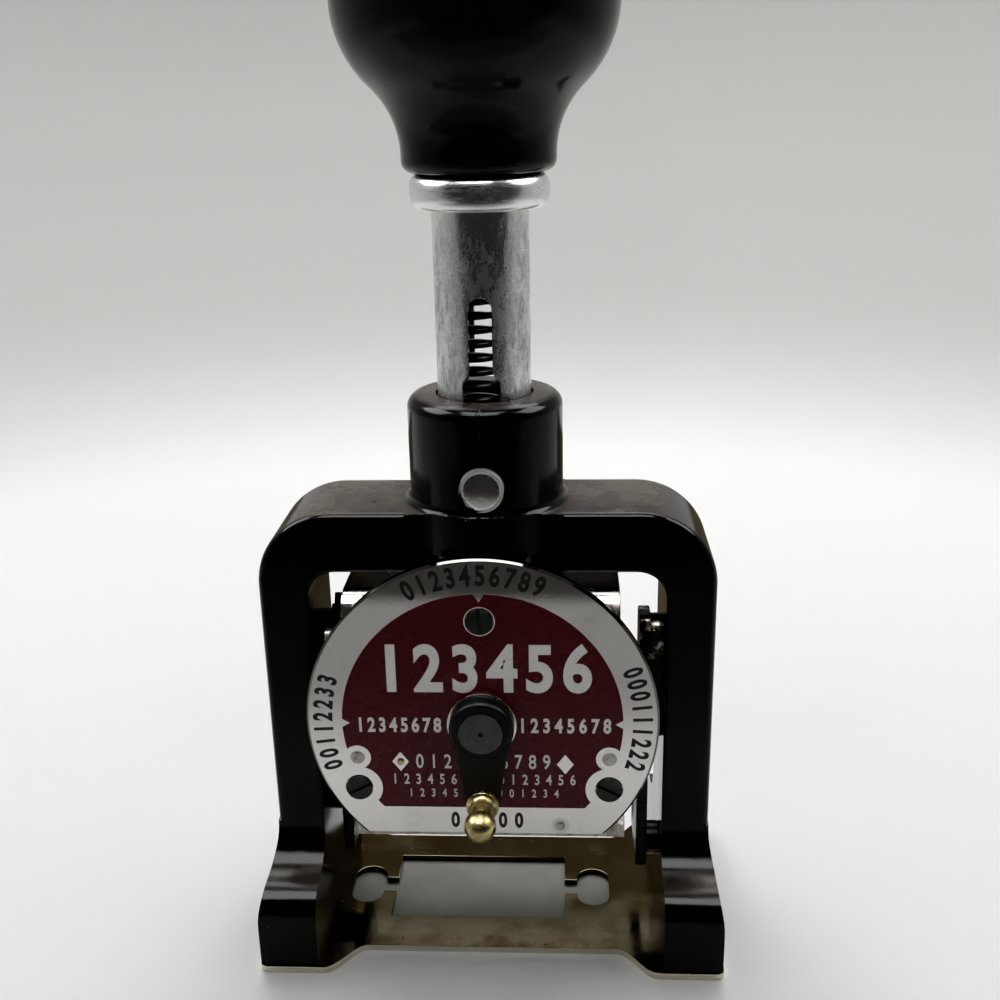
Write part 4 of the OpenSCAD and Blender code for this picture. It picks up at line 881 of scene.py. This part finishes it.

# %% [markdown]
# ## The main spring
# A coil spring shows through the plunger's slot. The Screw modifier winds a small circle into a coil,
# which is smoother than the faceted solid. It rides on the body of the CAD spring that it stands for.

# %% Main spring
wire, coil, bottom, length, pitch, stroke = 1.0, 3.75, 83.4, 41.0, 2.15, 19
winds = (length - wire) / pitch
faces_along = int(winds * 28)
bpy.ops.mesh.primitive_circle_add(
    vertices=10, radius=wire / 2 * MM, fill_type="NGON",
    location=(coil * MM, 0, (bottom + wire / 2) * MM), rotation=(math.pi / 2, 0, 0),
)
spring = into_mesh(named("main_spring_coil"))
apply_modifier(
    spring, "SCREW", axis="Z", angle=winds * 2 * math.pi, screw_offset=(length - wire) * MM,
    steps=faces_along, render_steps=faces_along, iterations=1,
)
outward(spring)
bpy.ops.object.shade_smooth_by_angle(angle=math.radians(50))
settle(spring, "main_spring", spring_black)
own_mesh(spring)
print("spring:", len(spring.data.polygons), "faces,", round(winds, 1), "turns")

# %% [markdown]
# ## The dial's enamel
# The red field lies a hair proud of the nickel ring. It is a thin disc, cut straight across below, and
# pierced where the nickel shows through: round the screws and pins, at two diamonds, and at three small
# points that mark the selector's positions. Cutting with solids is the way a die would do it.

# %% Punching tools
def on_dial(x, z, y=dial_face):
    """A point on the dial, in metres, from millimetres across and up from its centre"""
    return Vector((dial_x + x, y, dial_z + z)) * MM


def cutter(x, z, radius, sides=48, turn=0.0, tall=1.0):
    """A prism that cuts a hole through the field"""
    bpy.ops.mesh.primitive_cylinder_add(
        vertices=sides, radius=radius * MM, depth=2 * MM,
        location=on_dial(x, z), rotation=(math.pi / 2, turn, 0),
    )
    tool = bpy.context.object
    tool.scale = (1, tall, 1)
    return into_mesh(tool)


# %% Dial field
field_r, field_flat = 22.2, -15.2
bpy.ops.mesh.primitive_cylinder_add(
    vertices=160, radius=field_r * MM, depth=field_thick * MM,
    location=on_dial(0, 0), rotation=(math.pi / 2, 0, 0),
)
field = into_mesh(named("dial_field"))
bpy.ops.object.mode_set(mode="EDIT")
bpy.ops.mesh.select_all(action="SELECT")
bpy.ops.mesh.bisect(plane_co=on_dial(0, field_flat), plane_no=(0, 0, 1), use_fill=True, clear_inner=True)
bpy.ops.object.mode_set(mode="OBJECT")
cuts = [
    # round the shaft, the top screw, the pins and the lower screws
    cutter(0, 0, 2.4), cutter(0, 17.6, 2.45), cutter(-20.1, -6.2, 2.15), cutter(20.1, -6.2, 2.15),
    cutter(-20.1, -11.7, 3.8), cutter(20.1, -11.7, 3.8),
    # the diamonds
    cutter(-13.2, -6.9, 1.35, 4, 0, 1.3), cutter(13.1, -7.2, 1.35, 4, 0, 1.3),
    # the points at the top and the sides
    cutter(0, 22.0, 1.25, 3, math.pi / 3), cutter(-field_r, 0, 1.25, 3, math.pi / 2),
    cutter(field_r, 0, 1.25, 3, -math.pi / 2),
]
only(*cuts)
bpy.ops.object.join()
punch = bpy.context.object
apply_modifier(field, "BOOLEAN", operation="DIFFERENCE", solver="EXACT", object=punch, use_self=True)
bpy.data.objects.remove(punch)
dress(rounded(field, 0.03, 1), wine_enamel, "plunger")
print("dial field:", len(field.data.polygons), "faces")

# %% [markdown]
# ## Figures on the ring
# Plain figures show how the number moves at each stop of the selector: one step at a time at the top,
# every figure twice at the left, three times at the right, and always the same below. They are printed
# black on the ring and white on the enamel. A text object gives the shapes, and becomes a mesh
# before it is moved, so its place ends up in its vertices.

# %% Making figures
font_size = 1.37  # of the built-in font, for figures one millimetre tall


def figure(text, tall, wide=0.72, heavy=0.15):
    """One figure as a thin mesh at the origin, reading along X and standing along Z"""
    bpy.ops.object.text_add()
    words = bpy.context.object
    words.data.body, words.data.size = text, tall * font_size * MM
    words.data.align_x, words.data.align_y = "CENTER", "CENTER"
    words.data.offset, words.data.extrude = heavy * MM, 0.02 * MM
    words.data.resolution_u = 6
    only(words)
    bpy.ops.object.convert(target="MESH")
    flat = bpy.context.object
    flat.scale = (wide, 1, 1)
    flat.rotation_euler = (math.pi / 2, 0, 0)
    return into_mesh(flat)


def along_ring(text, radius, middle, spread, tall):
    """Figures along the ring, centred on an angle in degrees, with their feet towards the middle"""
    made = []
    for i, letter in enumerate(text):
        a = math.radians(middle - spread * (i / (len(text) - 1) - 0.5))
        piece = figure(letter, tall)
        spot = on_dial(radius * math.cos(a), radius * math.sin(a), dial_face - print_lift)
        piece.matrix_world = Matrix.Translation(spot) @ Matrix.Rotation(math.pi / 2 - a, 4, "Y")
        made.append(into_mesh(piece))
    return made


def in_row(text, x, z, step, tall, y, heavy=0.15, wide=0.72):
    """Figures in a level row, from x on"""
    made = []
    for i, letter in enumerate(text):
        piece = figure(letter, tall, wide, heavy)
        piece.location = on_dial(x + i * step, z, y)
        made.append(into_mesh(piece))
    return made


def printed(name, pieces, finish):
    """Joins figures into one piece of the dial"""
    only(*pieces)
    bpy.ops.object.join()
    piece = dress(outward(named(name)), finish, "plunger")
    print(name + ":", len(piece.data.polygons), "faces")


# %% Dial figures
over_ring = dial_face - print_lift
over_field = dial_face - field_thick / 2 - print_lift
figures = along_ring("0123456789", 25.0, 92, 47, 3.3)
figures += along_ring("00112233", 25.1, 180, 35, 3.0)
figures += along_ring("000111222", 25.1, 2, 38, 3.0)
for x in (-4.7, -1.6, 3.0, 5.6):
    figures += in_row("0", x, -17.7, 0, 2.7, over_ring)
printed("ring_figures", figures, figure_black)
on_enamel = in_row("123456", -14.0, 9.2, 5.8, 8.0, over_field, 0.36, 0.84)
on_enamel += in_row("12345678", -19.3, -0.4, 1.75, 2.5, over_field, 0.12)
on_enamel += in_row("12345678", 6.4, -0.4, 1.9, 2.5, over_field, 0.12)
on_enamel += in_row("0123456789", -10.1, -6.9, 2.25, 2.6, over_field, 0.05)
on_enamel += in_row("1234567890123456", -14.2, -10.1, 1.9, 1.9, over_field, 0.04)
on_enamel += in_row("12345678901234", -11.7, -12.6, 1.8, 1.5, over_field, 0.03)
printed("field_figures", on_enamel, figure_white)

# %% [markdown]
# ## Rivets in the dial
# A small rivet holds the backing at the lower right, and a brass one fills the left diamond. Each is a
# short turned head: a circle, pushed up in three rings so that it is domed.

# %% Rivets
def rivet(name, x, z, radius, finish):
    """A domed head on the dial"""
    dome = [(radius, 0.0), (radius, 0.06), (radius * 0.8, 0.14), (radius * 0.3, 0.19)]
    head = turned(name, dome, sides=32)
    sunk = Matrix.Translation(on_dial(x, z, dial_face + 0.02))
    head.matrix_world = sunk @ Matrix.Rotation(math.pi / 2, 4, "X")
    outward(into_mesh(head))
    bpy.ops.object.shade_smooth_by_angle(angle=math.radians(50))
    dress(head, finish, "plunger")
    print(name + ":", len(head.data.polygons), "faces")


rivet("ring_rivet", 12.3, -18.5, 0.72, screw_steel)
rivet("diamond_rivet", -13.2, -6.9, 0.62, old_brass)

# %% [markdown]
# ## Raised type
# Each wheel carries the figures 0 to 9, back to front and raised, so that they print the right way
# round. A figure is modelled once, bent to the wheel's curve by moving its points, and copied to every
# wheel. Seen from above, through the wheel, a figure at the bottom reads the right way.

# %% Raised figures
wheel_pitch, bank_x, drum_w, side_gap = 4.5, -16.4, 3.2, 0.15


def raised(text):
    """A figure for the lowest type face, bent round the axle, with its middle at x = 0"""
    bpy.ops.object.text_add()
    words = bpy.context.object
    words.data.body, words.data.size, words.data.extrude = text, 3.9 * MM, 0.12 * MM
    words.data.align_x, words.data.align_y, words.data.resolution_u = "CENTER", "CENTER", 2
    words.data.offset = 0.03 * MM
    only(words)
    bpy.ops.object.convert(target="MESH")
    solid = bpy.context.object
    solid.scale = (0.92, 1, 1)
    into_mesh(solid)
    for vertex in solid.data.vertices:
        x, y, z = vertex.co / MM
        r, a = type_r + 0.02 - z, y / type_r
        vertex.co = Vector((x, r * math.sin(a), axle_z - r * math.cos(a))) * MM
    return outward(solid)


master_type = [raised(str(i)) for i in range(10)]
print("figures:", sum(len(master.data.polygons) for master in master_type), "faces for all ten")

# %% Wheels
axle = Vector((0, 0, axle_z)) * MM
for number in range(1, 7):
    i = 6 - number
    middle_x = bank_x + i * wheel_pitch + side_gap + drum_w / 2
    type_faces = []
    for k, master in enumerate(master_type):
        piece = bpy.data.objects.new("face", master.data.copy())
        bpy.context.collection.objects.link(piece)
        turn = Matrix.Rotation(math.radians(36 * k), 4, "X")
        spin = Matrix.Translation(axle) @ turn @ Matrix.Translation(-axle)
        piece.matrix_world = Matrix.Translation((middle_x * MM, 0, 0)) @ spin
        type_faces.append(into_mesh(piece))
    only(*type_faces)
    bpy.ops.object.join()
    type_ring = dress(named(f"type_figures_{number}"), type_grey, f"wheel_{number}")
    node = f"number_wheel_{number}"
    settle(rounded(copy_of(node, node + "_finished"), 0.1), node, type_grey)
for master in master_type:
    bpy.data.objects.remove(master)
print("type:", len(type_ring.data.polygons), "faces on each of 6 wheels")

# %% [markdown]
# ## The ink pad
# The pad is a strip of felt that soaks up ink. A block is the starting point: its edges are rounded, it
# is cut into small triangles, and each point is lowered a little, in the hollow that each wheel has
# pressed and near the worn edges. Cloth would swell it like a cushion, which felt does not do.

# %% Felt pad
low, high = (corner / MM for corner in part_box("felt_pad"))
size, centre = high - low, (high + low) / 2
bpy.ops.mesh.primitive_cube_add(size=1, location=centre * MM)
felt = named("felt_pad_inked")
felt.scale = size * MM
into_mesh(felt)
apply_modifier(felt, "BEVEL", width=0.5 * MM, segments=3, limit_method="ANGLE")
bpy.ops.object.mode_set(mode="EDIT")
bpy.ops.mesh.select_all(action="SELECT")
bpy.ops.mesh.quads_convert_to_tris()
bpy.ops.mesh.subdivide(number_cuts=5)
bpy.ops.object.mode_set(mode="OBJECT")
for vertex in felt.data.vertices:
    x, y, z = vertex.co / MM
    rise = (z - low.z) / size.z
    trough = 0.5 - 0.5 * math.cos(2 * math.pi * (x - bank_x) / wheel_pitch)
    inside = min(1.0, (high.y - abs(y)) / 1.5)
    dip = 0.10 * trough * inside + 0.16 * (1 - inside) ** 2 + 0.03 * math.sin(x * 5.1 + y * 3.3)
    vertex.co.z -= max(0.0, dip) * rise * MM
apply_modifier(felt, "SMOOTH", factor=0.4, iterations=2)
bpy.ops.object.shade_smooth()
settle(felt, "felt_pad", ink_felt)
print("felt:", len(felt.data.polygons), "faces")

# %% [markdown]
# ## Nodes still shown
# The last lines list the CAD nodes that are still shown.

# %% Finish
loose = [node for node in body_of if not frame["nodes"][node].hide_render]
print("CAD nodes still shown:", loose)
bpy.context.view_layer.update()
